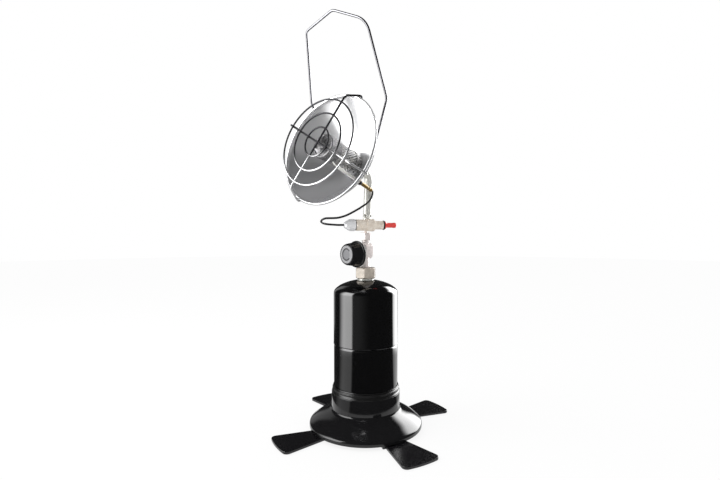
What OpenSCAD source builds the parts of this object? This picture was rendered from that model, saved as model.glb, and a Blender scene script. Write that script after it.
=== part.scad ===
// Portable propane heater: folding-leg stand, one-pound fuel cylinder, needle valve,
// upright burner pipe, dish reflector with a wire guard, push-button igniter and hanger.
// Millimetres, +Z up, the dish faces -Y, origin on the ground under the cylinder's axis.

/* [Stand] */
// Radius of the skirt's rim
skirt_r = 86.4; // [80:0.2:100]
// Height of the upright band at the skirt's rim
rim_band = 4.8; // [3:0.1:7]
// Outer radius of the collar that holds the cylinder
collar_r = 52.5; // [51:0.1:56]
// Height of the collar's top edge above the ground
collar_top = 55.9; // [45:0.1:75]
// Height of the corner between skirt and collar
skirt_top = 29; // [24:0.1:34]
// Height of the collar's floor, where the cylinder stands
floor_z = 20; // [17:0.1:22]
// Wall of the moulded stand
stand_wall = 2.5; // [2:0.1:2.6]
// Height of the soft grip ring above the collar
grip_h = 10; // [6:0.1:14]
// How far the grip ring bulges past the cylinder
grip_proud = 1.9; // [1.2:0.1:3]

/* [Legs] */
// Distance from the stand's axis to the tip of a leg
leg_reach = 145.5; // [138:0.5:146]
// Distance from the stand's axis to a leg's hinge pin
leg_pivot_r = 68; // [66:0.5:70]
// Half of the angle that a leg spans
leg_half = 11.8; // [9:0.1:12.2]
// Thickness of a leg
leg_t = 3.8; // [3.2:0.1:5]
// Radius of a leg's outer corners
leg_corner = 7; // [6.5:0.1:12]
// Turn of the first leg about the stand's axis
leg_turn = -22; // [-45:1:45]
// Radius of a hinge pin
leg_pin_r = 3; // [2:0.1:4]
// Radius of a rubber foot pad
pad_r = 8; // [5:0.1:10]
// How far a foot pad stands out under its leg
pad_proud = 0.6; // [0.3:0.1:1]

/* [Cylinder] */
// Radius of the cylinder's upper shell
cyl_r = 49.3; // [47:0.1:49.4]
// Height of the girth seam above the cylinder's foot
seam_h = 108.5; // [80:0.5:140]
// Height of the shoulder above the cylinder's foot
shoulder_h = 186; // [170:0.5:200]
// Height of the dome above the shoulder
dome_h = 20.3; // [16:0.1:26]
// Thickness of the steel shell
shell_t = 1.2; // [0.8:0.1:2]
// Radius of the threaded neck
neck_r = 12.7; // [12:0.1:14]
// Height of the neck above the dome
neck_h = 12.7; // [11.5:0.1:14]

/* [Valve] */
// Size across the flats of the inlet nut
nut_flats = 28.6; // [28:0.1:31]
// Height of the inlet nut
nut_h = 16.6; // [15.5:0.1:20]
// Height of the knob's axis above the inlet nut
valve_rise = 21.0; // [20.7:0.1:24]
// Turn of the valve and knob about the upright axis
valve_yaw = -10; // [-30:1:30]
// Radius of the valve's upright column
column_r = 5.25; // [4.5:0.05:6]
// Width of the valve block
block_w = 16; // [14:0.1:20]
// Height of the valve block
block_h = 24.5; // [20:0.1:25]
// Radius of the valve stem
stem_r = 3; // [2:0.1:3.4]
// Size across the flats of the jet nut
jet_flats = 15; // [13:0.1:17]
// Height of the jet nut
jet_h = 11.7; // [9:0.1:13]

/* [Knob] */
// Radius of the knob's rear flange
knob_flange_r = 20.3; // [18:0.1:20.4]
// Radius of the knob's front face
knob_face_r = 14.6; // [12:0.1:16]
// Length of the knob
knob_len = 22.5; // [21:0.1:26]
// Distance from the valve's axis to the back of the knob
knob_back = 17; // [16.4:0.1:19]
// Radius of the dial plate set in the knob's face
dial_r = 13.2; // [10:0.1:14]

/* [Burner pipe] */
// Outer radius of the burner pipe
pipe_r = 6.35; // [5.5:0.05:7]
// Wall of the burner pipe
pipe_wall = 1; // [0.8:0.1:1.5]
// Backward lean of the upright pipe
pipe_lean = 4.4; // [2:0.1:6]
// Radius of the elbow behind the dish
bend_r = 16; // [14:0.5:20]
// Radius of the four air inlets
air_r = 2.5; // [1.5:0.1:3]
// Height of the air inlets above the pipe's foot
air_rise = 21; // [20:0.5:24]

/* [Head] */
// Radius of the dish at its rolled rim
dish_r = 80.2; // [76:0.2:88]
// Depth of the dish's full curve
dish_depth = 60; // [56:0.5:64]
// Thickness of the dish
dish_t = 1; // [0.6:0.1:1.5]
// Radius of the rolled rim
rim_bead = 1.8; // [1.4:0.1:2.5]
// Height of the rim's centre above the ground
rim_z = 414.8; // [405:0.2:430]
// Distance that the rim's centre stands in front of the cylinder's axis
rim_reach = 86.3; // [82:0.1:92]
// Upward tilt of the dish
head_tilt = 14.7; // [10:0.1:20]
// Radius of the burner's cup
cup_r = 18; // [17.2:0.1:20]
// How far the cup stands out of the dish
cup_out = 12; // [6:0.5:18]
// Depth at which the cup ends and the bare screen starts
cup_depth = 10; // [8:0.5:16]
// Depth at which the rear holder starts
holder_depth = 44; // [36:0.5:48]
// Radius of the burner's screen
screen_r = 16.9; // [15.8:0.1:16.9]

/* [Guard] */
// Radius of the guard rings' wire
ring_wire = 1.2; // [0.8:0.1:1.6]
// Radius of the two crossing wires
spoke_wire = 1.4; // [1:0.1:1.8]
// Radius of the outer ring
ring_outer = 61.7; // [56:0.1:66]
// Radius of the middle ring
ring_middle = 41.5; // [36:0.1:46]
// Radius of the inner ring
ring_inner = 21; // [18:0.1:26]
// How far the guard stands in front of the rim
guard_out = 22.5; // [20:0.1:30]
// Radius of the corners where the crossing wires turn back
guard_corner = 72; // [66:0.2:78]
// Turn of the first crossing wire from level
guard_turn = 60; // [45:1:75]

/* [Electrode] */
// Sideways place of the electrode
electrode_x = 10.5; // [10:0.1:13]
// Drop of the electrode below the burner's axis, at the rim
electrode_drop = 21.3; // [21:0.1:24]
// Tilt of the electrode against the burner's axis
electrode_tilt = 3.7; // [2:0.1:5]
// Radius of the ceramic tube
ceramic_r = 2.6; // [2:0.1:3]
// Depth at which the brass ferrule ends
ferrule_end = 97; // [90:0.5:100]

/* [Igniter] */
// Height of the igniter's axis above the pipe's foot
igniter_rise = 7; // [6.5:0.1:9]
// Heading of the igniter's button about the upright axis
igniter_heading = 54; // [45:1:60]
// Radius of the igniter's barrel
barrel_r = 8.5; // [8:0.1:9]
// Length of the barrel on the nut's side of the clamp's middle
barrel_back = 22; // [20:0.5:24]
// Length of the barrel on the button's side of the clamp's middle
barrel_front = 21; // [20:0.5:24]
// Length of the tapered nut
igniter_nut_len = 17; // [14:0.5:20]
// Radius of the button
button_r = 4; // [3:0.1:4.4]
// How far the button stands out of its bezel
button_out = 15.8; // [10:0.1:18]
// Travel of the button
button_travel = 5.5; // [4:0.1:6]
// Width of the clamp along the igniter
clamp_w = 12; // [10:0.1:14]

/* [Hanger] */
// Radius of the hanger's wire
hanger_wire = 1.6; // [1.2:0.1:2]
// Depth of the hanger's pivot behind the rim
hanger_pivot = 68; // [67.5:0.1:70]
// Forward lean of the hanger at rest
hanger_lean = 23.2; // [15:0.1:23.4]
// Sideways set of the hanger in its loose holes
hanger_skew = 6.3; // [0:0.1:6.5]
// Gap between the hanger's lower wires and the dish, square to the head's axis
hanger_gap = 3; // [2:0.1:6]
// Distance from the pivot to the lower bends
bend_rise = 95.4; // [90:0.1:110]
// Half width at the hanger's shoulders
shoulder_half = 51.2; // [44:0.1:60]
// Distance from the pivot to the shoulders
shoulder_rise = 194.8; // [180:0.1:210]
// Distance from the pivot to the peak
peak_rise = 213.9; // [200:0.1:230]

/* [Ignition lead] */
// Radius of the lead
lead_r = 1.5; // [1.2:0.1:1.6]

/* [Hidden] */
$fn = 64;
eps = 0.5;                          // overshoot of a cutting shape
run_gap = 0.05;                     // radial clearance of a running fit
seat_gap = 0.03;                    // gap between pieces that sit on each other

black = [0.05, 0.05, 0.055];
gloss_black = [0.03, 0.03, 0.035];
rubber = [0.09, 0.09, 0.09];
chrome = [0.8, 0.82, 0.84];
nickel = [0.72, 0.66, 0.56];
steel = [0.6, 0.6, 0.6];
dark_steel = [0.28, 0.28, 0.29];
brass = [0.62, 0.48, 0.22];
red = [0.88, 0.2, 0.18];
ceramic = [0.93, 0.92, 0.88];
grey = [0.55, 0.56, 0.58];

// Stand
leg_gap = 0.1;                                  // leg to boss, and pin head to leg
leg_top = pad_proud + leg_t;
rim_low = leg_top + 0.5;                        // underside of the skirt's rim
boss_low = leg_top + leg_gap;
boss_wall = 4;
boss_r = leg_pin_r + boss_wall;
pin_head_over = 3;                              // how far a pin's head stands past its shank
pin_head_r = leg_pin_r + pin_head_over;
pin_head_h = 1.2;
pin_grip = 9;                                   // length of a pin inside its boss
pad_at = leg_reach - leg_corner - pad_r;        // radius of the circle of foot pads
pad_h = pad_proud + 1;
seat_r = cyl_r + 0.6;                           // inner radius of the collar
leg_angles = [leg_turn, leg_turn + 90, leg_turn + 180, leg_turn + 270];

// Cylinder
cyl_foot = floor_z + seat_gap;
cyl_low_r = cyl_r - 0.4;                        // the lower shell is a little slimmer
seam_z = cyl_foot + seam_h;
shoulder_z = cyl_foot + shoulder_h;
dome_z = shoulder_z + dome_h;
neck_top = dome_z + neck_h;
neck_seat = neck_top - 4;                       // seat of the inlet seal inside the neck
foot_ring_r = 39;                               // ring that the cylinder stands on
foot_dish_r = 26;                               // flat middle of its hollow bottom
foot_rise = 5;
foot_corner = 7;
core_r = 4;
pin_r = 1;
relief_at = [24, 105];                          // radius and heading of the relief valve
relief_r = 4.4;
relief_cap_r = 5.4;
relief_h = 2.4;                                 // height of its base, and of its cap

// Valve
nut_z = dome_z + 2.1;
nut_top = nut_z + nut_h;
seal_top = neck_top + 0.2;
valve_z = nut_top + valve_rise;
block_low = valve_z - 7.5;
block_top = block_low + block_h;
block_back = 9;
block_front = 6;
gland_front = 8;
packing_len = 8;
jet_z = block_top + 4;
jet_top = jet_z + jet_h;
jet_neck_r = 2.4;
gas_r = 2;

// Knob, measured along the knob's axis from the valve's axis
knob_face = knob_back + knob_len;
stem_end = knob_face - 7;
dial_t = 0.8;

// Burner pipe, in the side plane: x is forward, y is up
pipe_foot = [-2, jet_top + 4.3];
pipe_dir = [-sin(pipe_lean), cos(pipe_lean)];
head_dir = [cos(head_tilt), sin(head_tilt)];
rim_at = [rim_reach, rim_z];
foot_to_rim = rim_at - pipe_foot;
pipe_turn = 90 + pipe_lean - head_tilt;
// the two centre lines cross at pipe_s up the pipe
pipe_s = (foot_to_rim[0] * head_dir[1] - foot_to_rim[1] * head_dir[0])
    / (pipe_dir[0] * head_dir[1] - pipe_dir[1] * head_dir[0]);
bend_start = pipe_s - bend_r * tan(pipe_turn / 2);
bend_at = pipe_foot + bend_start * pipe_dir + bend_r * [cos(pipe_lean), sin(pipe_lean)];
pipe_sides = 24;

// Head, depths behind the rim are negative along the head's own axis
flat_r = 18;                                    // flat middle of the dish
dish_steps = 20;
function dish_d(r) = dish_depth * (1 - pow(max(r, flat_r) / dish_r, 2));
flat_d = dish_d(flat_r);
dish_back = flat_d + dish_t;
bracket_t = 1.2;
bracket_half = 19.7;
ear_half = 5;
nut2_d = dish_back + bracket_t + 2 * seat_gap;
tube_end = holder_depth + 6;
holder_wall = 0.8;
screw_x = 13;                                   // sideways place of the bracket's screws

// Electrode
collar_d = dish_d(norm([electrode_x, electrode_drop])) + 4.4;

// Igniter
igniter_gap = 0.15;
igniter_off = pipe_r + barrel_r + igniter_gap;  // from the pipe's axis to the igniter's
igniter_z = pipe_foot[1] + igniter_rise;
pipe_there = [0, -(pipe_foot[0] - igniter_rise * tan(pipe_lean)), igniter_z];
igniter_at = pipe_there + igniter_off * [sin(igniter_heading), -cos(igniter_heading), 0];
barrel_slim = barrel_r - 2;
bore_r = barrel_slim - 1.5;
collar_len = 2.2;
bezel_len = 3.1;
bezel_end = barrel_front + collar_len + bezel_len + 2 * seat_gap;
washer_len = 1;
button_in = barrel_front - 8;                   // inner end of the button

// Hanger
hanger_at = [0, -(rim_reach - hanger_pivot * head_dir[0]), rim_z - hanger_pivot * head_dir[1]];
hanger_out = bracket_half + hanger_wire + 1.4;
fold = hanger_lean + head_tilt;                 // from the rim's plane to the hanger's
function dish_r_at(d) = dish_r * sqrt(max(0, 1 - d / dish_depth));
// least half width of the lower wires at distance s from the pivot
function clear_half(s) = let (r = dish_r_at(hanger_pivot - s * sin(fold)) + dish_t + hanger_wire
    + hanger_gap) sqrt(max(0, r * r - pow(s * cos(fold), 2)));
lower_slope = max([for (s = [4:4:bend_rise]) (clear_half(s) - hanger_out) / s]);
// the left wire, which the skew brings nearest the dish, has that slope
bend_half = (hanger_out + bend_rise * (lower_slope * cos(hanger_skew) + sin(hanger_skew)))
    / (cos(hanger_skew) - lower_slope * sin(hanger_skew));

// Ignition lead, chosen by hand from the ferrule to the igniter's nut
lead_mid = [[10.5, 2.4, 362.6], [10.5, 3.3, 361.5], [10.5, 3.7, 360.1], [10.5, 3.4, 358.6],
    [10.5, 2.7, 356.3], [10.4, 1.3, 353.3], [10.2, -0.4, 350.4], [9.9, -2.6, 347.7],
    [9.5, -5.3, 345.3], [9, -8.7, 343], [8, -12.6, 340.7], [6.6, -17.4, 337.9],
    [4.8, -23, 334.5], [2.2, -29.5, 330.9], [-0.6, -36, 327.3], [-3.4, -42.5, 324.1],
    [-6.2, -49, 321.8], [-9, -55.5, 320.2], [-12, -61.8, 319.6], [-15, -67.4, 319.4],
    [-18.4, -71.8, 319], [-22.4, -74, 317.3], [-26, -72.8, 315],
    [-27.8, -69, 313.2], [-27.8, -64.4, 311.8], [-26, -59.8, 311], [-23.2, -55.2, 310.6]];

function arc(c, r, a, b, n) = [for (i = [0:n]) c + r * [cos(a + (b - a) * i / n),
    sin(a + (b - a) * i / n)]];

// Frames of reference
module side_plane() rotate([90, 0, -90]) children();
module head_frame() translate([0, -rim_reach, rim_z]) rotate([90 - head_tilt, 0, 0]) children();
module valve_frame() translate([0, 0, valve_z]) rotate([90, 0, valve_yaw]) children();
module igniter_frame() translate(igniter_at) rotate([0, 90, igniter_heading]) children();
module pipe_frame() translate([0, -pipe_foot[0], pipe_foot[1]]) rotate([-pipe_lean, 0, 0])
    children();
module electrode_frame() head_frame() translate([electrode_x, -electrode_drop, 0])
    rotate([-electrode_tilt, 0, 0]) children();

// A round bar from p to q
module bar(p, q, r) {
    v = q - p;
    translate(p) rotate([0, acos(v[2] / norm(v)), atan2(v[1], v[0])])
        cylinder(h = norm(v), r = r, $fn = 32);
}
// A bent wire along a list of points, with ball corners a little fuller than the wire
module wire(pts, r) {
    for (i = [0:len(pts) - 2]) bar(pts[i], pts[i + 1], r);
    for (i = [1:len(pts) - 2]) translate(pts[i]) sphere(r = r + 0.05, $fn = 32);
}
// A tube along Z from a to b
module tube(a, b, r_out, r_in) translate([0, 0, a]) difference() {
    cylinder(h = b - a, r = r_out);
    translate([0, 0, -eps]) cylinder(h = b - a + 2 * eps, r = r_in);
}
// A hexagonal bar from a to b whose ends are turned to a chamfer
module hex_bar(a, b, flats, chamfer) intersection() {
    translate([0, 0, a]) cylinder(h = b - a, r = flats / sqrt(3), $fn = 6);
    rotate_extrude() polygon([[0, a], [flats / 2 - chamfer / 3, a],
        [flats / sqrt(3), a + chamfer], [flats / sqrt(3), b - chamfer],
        [flats / 2 - chamfer / 3, b], [0, b]]);
}

// Swept tubes
function unit(v) = v / norm(v);
function tangent(p, i) = let (n = len(p) - 1) i == 0 ? unit(p[1] - p[0])
    : i == n ? unit(p[n] - p[n - 1]) : unit(unit(p[i + 1] - p[i]) + unit(p[i] - p[i - 1]));
// the ring's first direction is the last ring's, turned square to the new tangent
function carry(u, t) = unit(u - (u * t) * t);
function ring_dirs(p, i = 0, u = [1, 0, 0]) = let (v = carry(u, tangent(p, i)))
    i == len(p) - 1 ? [v] : concat([v], ring_dirs(p, i + 1, v));
module sweep(p, r, n) {
    dirs = ring_dirs(p);
    pts = [for (i = [0:len(p) - 1]) let (t = tangent(p, i), w = cross(t, dirs[i]))
        for (k = [0:n - 1]) p[i] + r * (cos(360 * k / n) * dirs[i] + sin(360 * k / n) * w)];
    last = (len(p) - 1) * n;
    polyhedron(pts, concat([[for (k = [0:n - 1]) k]],
        [[for (k = [0:n - 1]) last + n - 1 - k]],
        [for (i = [0:len(p) - 2]) for (k = [0:n - 1]) let (a = i * n + k,
            b = i * n + (k + 1) % n) each [[a, a + n, b], [b, a + n, b + n]]]));
}
// A bent line with each inner corner drawn as a curve that starts b before it and ends b after
function soften(p, b, n) = concat([p[0]], [for (i = [1:len(p) - 2]) let (
    a = p[i] + min(b, norm(p[i - 1] - p[i]) * 0.45) * unit(p[i - 1] - p[i]),
    c = p[i] + min(b, norm(p[i + 1] - p[i]) * 0.45) * unit(p[i + 1] - p[i]))
    for (k = [0:n]) let (t = k / n) (1 - t) * (1 - t) * a + 2 * t * (1 - t) * p[i] + t * t * c],
    [p[len(p) - 1]]);

// Stand
module skirt_outline() polygon(concat([[0, floor_z - stand_wall], [0, floor_z],
    [seat_r, floor_z], [seat_r, collar_top], [collar_r, collar_top],
    [collar_r, skirt_top + 2]],
    [[collar_r + 1.5, skirt_top], [(collar_r + skirt_r) / 2 + 2, (skirt_top + rim_low) / 2 + 4],
    [skirt_r - 2.2, rim_low + rim_band + 2.4]],
    [[skirt_r - 0.6, rim_low + rim_band + 0.9], [skirt_r, rim_low + rim_band - 0.8],
    [skirt_r, rim_low], [skirt_r - stand_wall, rim_low],
    [skirt_r - stand_wall, rim_low + rim_band - 1], [skirt_r - stand_wall - 1.4, rim_low + rim_band],
    [(collar_r + skirt_r) / 2 + 1, (skirt_top + rim_low) / 2 + 1],
    [collar_r + 1, skirt_top - 3], [collar_r, skirt_top - 4.5], [collar_r, floor_z - stand_wall]]));
module base_shell() color(black) difference() {
    union() {
        rotate_extrude($fn = 128) skirt_outline();
        intersection() {
            rotate_extrude($fn = 128) polygon([[leg_pivot_r - boss_r - 1, boss_low],
                [leg_pivot_r - boss_r - 1, skirt_top - 3], [collar_r + 1.5, skirt_top - 1],
                [(collar_r + skirt_r) / 2 + 1.5, (skirt_top + rim_low) / 2 + 3],
                [skirt_r - 3, rim_low + rim_band + 1], [skirt_r - 3, boss_low]]);
            for (a = leg_angles) rotate([0, 0, a]) translate([leg_pivot_r, 0, boss_low])
                cylinder(h = skirt_top, r = boss_r);
        }
        // stops for the open legs
        for (a = leg_angles) rotate([0, 0, a - leg_half]) translate([skirt_r - 8, -4.8, 1.2])
            cube([7.4, 4.5, rim_low + 2]);
    }
    for (a = leg_angles) rotate([0, 0, a]) translate([leg_pivot_r, 0, boss_low - eps])
        cylinder(h = pin_grip + eps, r = leg_pin_r + seat_gap);
}
module grip_ring() color(rubber) rotate_extrude($fn = 128) polygon(concat(
    [[cyl_r + 0.15, collar_top + seat_gap], [collar_r - 0.2, collar_top + seat_gap],
    [collar_r - 0.2, collar_top + 1.2], [cyl_r + grip_proud - 0.3, collar_top + 2.2]],
    arc([cyl_r + grip_proud - 2.5, collar_top + grip_h / 2 + 1], 2.5, -40, 60, 6),
    [[cyl_r + 1, collar_top + grip_h], [cyl_r + 0.15, collar_top + grip_h]]));

// One leg, pointing along +X from the stand's axis
corner_c = leg_reach - leg_corner;
corner_a = leg_half - asin(leg_corner / corner_c);
leg_edge = concat(arc([0, 0], leg_reach, 0, corner_a, 3),
    arc(corner_c * [cos(corner_a), sin(corner_a)], leg_corner, corner_a, leg_half + 90, 6),
    [leg_pivot_r * cos(leg_half) * [cos(leg_half), sin(leg_half)]]);
module leg() color(black) difference() {
    translate([0, 0, pad_proud]) linear_extrude(leg_t) {
        polygon(concat(leg_edge, [for (i = [len(leg_edge) - 1:-1:1]) [leg_edge[i][0],
            -leg_edge[i][1]]]));
        translate([leg_pivot_r, 0]) circle(r = leg_pivot_r * sin(leg_half));
    }
    translate([leg_pivot_r, 0, 0]) {
        cylinder(h = leg_top + eps, r = leg_pin_r + run_gap);
        cylinder(h = pad_proud + leg_gap + pin_head_h + leg_gap, r = pin_head_r + 0.1);
    }
    translate([pad_at, 0, 0]) cylinder(h = pad_h + seat_gap, r = pad_r + seat_gap);
}
module leg_right() rotate([0, 0, leg_angles[0]]) leg();
module leg_back() rotate([0, 0, leg_angles[1]]) leg();
module leg_left() rotate([0, 0, leg_angles[2]]) leg();
module leg_front() rotate([0, 0, leg_angles[3]]) leg();
module leg_pins() color(steel) for (a = leg_angles) rotate([0, 0, a])
    translate([leg_pivot_r, 0, pad_proud + leg_gap]) {
        cylinder(h = pin_head_h, r = pin_head_r);
        cylinder(h = boss_low - pad_proud - leg_gap + pin_grip - 0.5, r = leg_pin_r);
    }
module foot_pad(i) color(rubber) rotate([0, 0, leg_angles[i]]) translate([pad_at, 0, 0])
    cylinder(h = pad_h, r = pad_r);
module foot_pad_right() foot_pad(0);
module foot_pad_back() foot_pad(1);
module foot_pad_left() foot_pad(2);
module foot_pad_front() foot_pad(3);

// Cylinder
module cylinder_lower() color(gloss_black) rotate_extrude($fn = 128) polygon(concat(
    [[0, cyl_foot + foot_rise], [foot_dish_r, cyl_foot + foot_rise - 1.6],
    [foot_ring_r - 3, cyl_foot + 0.8], [foot_ring_r, cyl_foot]],
    arc([cyl_low_r - foot_corner, cyl_foot + foot_corner], foot_corner, -90, 0, 6),
    [[cyl_low_r, seam_z - 3], [cyl_r - shell_t - 0.05, seam_z - 1],
    [cyl_r - shell_t - 0.05, seam_z + 7], [cyl_r - 2 * shell_t, seam_z + 7],
    [cyl_low_r - shell_t - 0.8, seam_z - 4]],
    arc([cyl_low_r - foot_corner, cyl_foot + foot_corner], foot_corner - shell_t, 0, -90, 6),
    [[foot_ring_r, cyl_foot + shell_t], [foot_ring_r - 2.6, cyl_foot + shell_t + 0.8],
    [foot_dish_r, cyl_foot + shell_t + foot_rise - 1.6], [0, cyl_foot + shell_t + foot_rise]]));
// Outer curve of the shoulder and dome: share of the height over share of the radius
dome_curve = [[1, 0], [0.992, 0.13], [0.972, 0.24], [0.938, 0.34], [0.88, 0.46], [0.77, 0.63],
    [0.6, 0.8], [0.44, 0.91], [0.33, 0.97]];
function dome_pt(k, t) = [k[0] * (cyl_r - t), shoulder_z + k[1] * dome_h - t];
module cylinder_upper() color(gloss_black) rotate_extrude($fn = 128) polygon(concat(
    [[cyl_r - shell_t, seam_z], [cyl_r - 0.3, seam_z], [cyl_r, seam_z + 0.6]],
    [for (k = dome_curve) dome_pt(k, 0)],
    [[neck_r + 0.05, dome_z], [neck_r + 0.05, dome_z - shell_t]],
    [for (i = [len(dome_curve) - 1:-1:0]) dome_pt(dome_curve[i], shell_t)]));
module neck_boss() color(steel) rotate_extrude() polygon([[core_r + seat_gap, dome_z - 5],
    [neck_r + 3.5, dome_z - 5], [neck_r + 3.5, dome_z - shell_t - 1.6],
    [neck_r, dome_z - shell_t - 0.6], [neck_r, neck_top - 0.8], [neck_r - 0.8, neck_top],
    [7, neck_top], [7, neck_seat], [core_r + seat_gap, neck_seat]]);
module core_body() color(brass) rotate_extrude() polygon([[2.6, neck_seat - 10],
    [core_r, neck_seat - 10], [core_r, neck_seat], [pin_r + 0.2, neck_seat],
    [pin_r + 0.2, neck_seat - 4], [2.6, neck_seat - 4]]);
module core_pin() color(brass) {
    translate([0, 0, neck_seat - 14]) cylinder(h = 16, r = pin_r, $fn = 32);
    translate([0, 0, neck_seat - 12.4]) cylinder(h = 2.3, r = 3.1);
}
module core_spring() color(steel) tube(neck_seat - 10.05, neck_seat - 4.1, 2.5, pin_r + 0.1);
module relief_valve() color(gloss_black) rotate([0, 0, relief_at[1]])
    translate([relief_at[0], 0, dome_z]) {
        translate([0, 0, -shell_t]) cylinder(h = shell_t + relief_h, r = relief_r);
        translate([0, 0, relief_h - 0.8]) cylinder(h = relief_h, r = relief_cap_r);
    }

// Valve
module inlet_nut() color(nickel) difference() {
    hex_bar(nut_z, nut_top, nut_flats, 2);
    translate([0, 0, nut_z - eps]) cylinder(h = seal_top + 0.1 - nut_z + eps, r = neck_r + 0.08);
    cylinder(h = nut_top + eps, r = column_r + seat_gap);
}
module inlet_seal() color(rubber) tube(neck_seat + 0.1, seal_top, 6.9, 2.2);
module depressor_pin() color(brass) {
    translate([0, 0, neck_seat + 2.1]) cylinder(h = 6.9, r = pin_r, $fn = 32);
    translate([0, 0, neck_seat + 5.5]) cylinder(h = 3.5, r = gas_r - 0.02, $fn = 6);
}
module block_outline() {
    for (y = [block_low + block_w / 2, block_top - block_w / 2]) translate([0, y - valve_z])
        circle(r = block_w / 2);
    translate([-block_w / 2, block_low + block_w / 2 - valve_z])
        square([block_w, block_h - block_w]);
}
module valve_body() color(nickel) difference() {
    union() {
        translate([0, 0, seal_top + 0.15]) cylinder(h = jet_z + 4 - seal_top, r = column_r);
        translate([0, 0, nut_top + seat_gap]) cylinder(h = 1.6, r = column_r + 2);
        valve_frame() {
            translate([0, 0, -block_back]) linear_extrude(block_back + block_front)
                block_outline();
            cylinder(h = gland_front, r = 7);
        }
    }
    valve_frame() translate([0, 0, -block_back + 4]) cylinder(h = 30, r = stem_r + run_gap);
    valve_frame() translate([0, 0, gland_front - 2.4]) cylinder(h = 5, r = stem_r + 1.5);
    cylinder(h = valve_z, r = gas_r);
    translate([0, 0, valve_z]) cylinder(h = 60, r = gas_r);
}
module valve_stem() color(steel) valve_frame() difference() {
    translate([0, 0, -block_back + 5]) cylinder(h = stem_end + block_back - 5, r = stem_r);
    translate([0, 0, stem_end - 8]) cylinder(h = 10, r = 1.5 + seat_gap, $fn = 32);
}
module stem_seal() color(rubber) valve_frame()
    tube(gland_front - 2.35, gland_front - 0.1, stem_r + 1.45, stem_r + run_gap);
module packing_nut() color(nickel) valve_frame() difference() {
    hex_bar(gland_front + seat_gap, gland_front + packing_len, 13, 0.8);
    cylinder(h = 30, r = stem_r + run_gap);
}

// Knob
knob_cone_r = knob_flange_r - 2.2;
module valve_knob() color(black) valve_frame() rotate_extrude($fn = 96) polygon([
    [11, knob_back], [knob_flange_r - 0.8, knob_back], [knob_flange_r, knob_back + 1],
    [knob_flange_r, knob_back + 3], [knob_flange_r - 0.7, knob_back + 4],
    [knob_cone_r, knob_back + 4.6], [knob_cone_r - 0.8, knob_back + 12],
    [knob_face_r + 1.6, knob_face - 3], [knob_face_r + 0.6, knob_face - 0.8],
    [knob_face_r - 0.4, knob_face], [dial_r + seat_gap, knob_face],
    [dial_r + seat_gap, knob_face - dial_t - seat_gap], [3.9, knob_face - dial_t - seat_gap],
    [3.9, stem_end + 2], [1.7, stem_end + 2], [1.7, stem_end + seat_gap],
    [stem_r + seat_gap, stem_end + seat_gap], [stem_r + seat_gap, knob_back + 4.5],
    [7, knob_back + 4.5], [7, knob_back + 10], [11, knob_back + 9]]);
module knob_dial() color(grey) valve_frame() translate([0, 0, knob_face - dial_t])
    cylinder(h = dial_t, r = dial_r, $fn = 96);
module knob_screw() color(steel) valve_frame() {
    translate([0, 0, stem_end - 6]) cylinder(h = 8.1 + seat_gap, r = 1.5, $fn = 32);
    translate([0, 0, stem_end + 2 + seat_gap]) cylinder(h = 2, r = 3.4);
}

// Jet and burner pipe
module jet_nut() color(nickel) difference() {
    union() {
        hex_bar(jet_z, jet_top, jet_flats, 1.2);
        translate([0, 0, jet_top - 1]) cylinder(h = 6.8, r = jet_neck_r, $fn = 32);
    }
    translate([0, 0, jet_z - eps]) cylinder(h = 4.2 + eps, r = column_r + seat_gap);
    translate([0, 0, jet_z]) cylinder(h = 9.5, r = 3 + seat_gap, $fn = 32);
    translate([0, 0, jet_z]) cylinder(h = 30, r = 1.2, $fn = 24);
}
module orifice_jet() color(brass) difference() {
    translate([0, 0, jet_z + 4.25]) cylinder(h = 5.2, r = 3, $fn = 32);
    translate([0, 0, jet_z + 3]) cylinder(h = 5, r = 1.5, $fn = 24);
    translate([0, 0, jet_z + 3]) cylinder(h = 8, r = 0.4, $fn = 16);
}
// The pipe's centre line from a above its foot to depth d behind the rim
function pipe_line(a, d) = [for (q = concat([pipe_foot + a * pipe_dir],
    arc(bend_at, bend_r, 180 + pipe_lean, 90 + head_tilt, 12), [rim_at - d * head_dir]))
    [0, -q[0], q[1]]];
module burner_pipe() color(steel) difference() {
    sweep(pipe_line(0, tube_end), pipe_r, pipe_sides);
    sweep(pipe_line(4, tube_end - eps), pipe_r - pipe_wall, pipe_sides);
    translate([0, 0, jet_top]) cylinder(h = 12, r = jet_neck_r + seat_gap, $fn = 32);
    // the air inlets are centred on a side, clear of the edges
    pipe_frame() translate([0, 0, air_rise]) for (a = [0, 90])
        rotate([0, 90, a + 180 / pipe_sides]) translate([0, 0, -10])
            cylinder(h = 20, r = air_r, $fn = 32);
}
module tube_nut() color(nickel) head_frame() difference() {
    hex_bar(-nut2_d - 6, -nut2_d, 17, 1);
    translate([0, 0, -nut2_d - 10]) cylinder(h = 14, r = pipe_r + seat_gap);
}

// Dish
module reflector() color(chrome) head_frame() difference() {
    union() {
        rotate_extrude($fn = 128) polygon(concat([[0, -flat_d]],
            [for (i = [0:dish_steps]) let (r = flat_r + (dish_r - flat_r) * i / dish_steps)
                [r, -dish_d(r)]],
            [for (i = [dish_steps:-1:0]) let (r = flat_r + (dish_r - flat_r) * i / dish_steps)
                [r + dish_t * 0.7, -dish_d(r) - dish_t * 0.7]],
            [[flat_r, -dish_back], [0, -dish_back]]));
        rotate_extrude($fn = 128) translate([dish_r, 0]) circle(r = rim_bead, $fn = 32);
    }
    translate([0, 0, -dish_back - 5]) cylinder(h = 20, r = pipe_r + seat_gap);
    for (x = [-screw_x, screw_x]) translate([x, 0, -dish_back - 5]) cylinder(h = 10, r = 1.6);
    translate([electrode_x, -electrode_drop, 0]) rotate([-electrode_tilt, 0, 0])
        translate([0, 0, -collar_d - 4]) cylinder(h = 24, r = ceramic_r + 0.4);
}
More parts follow.
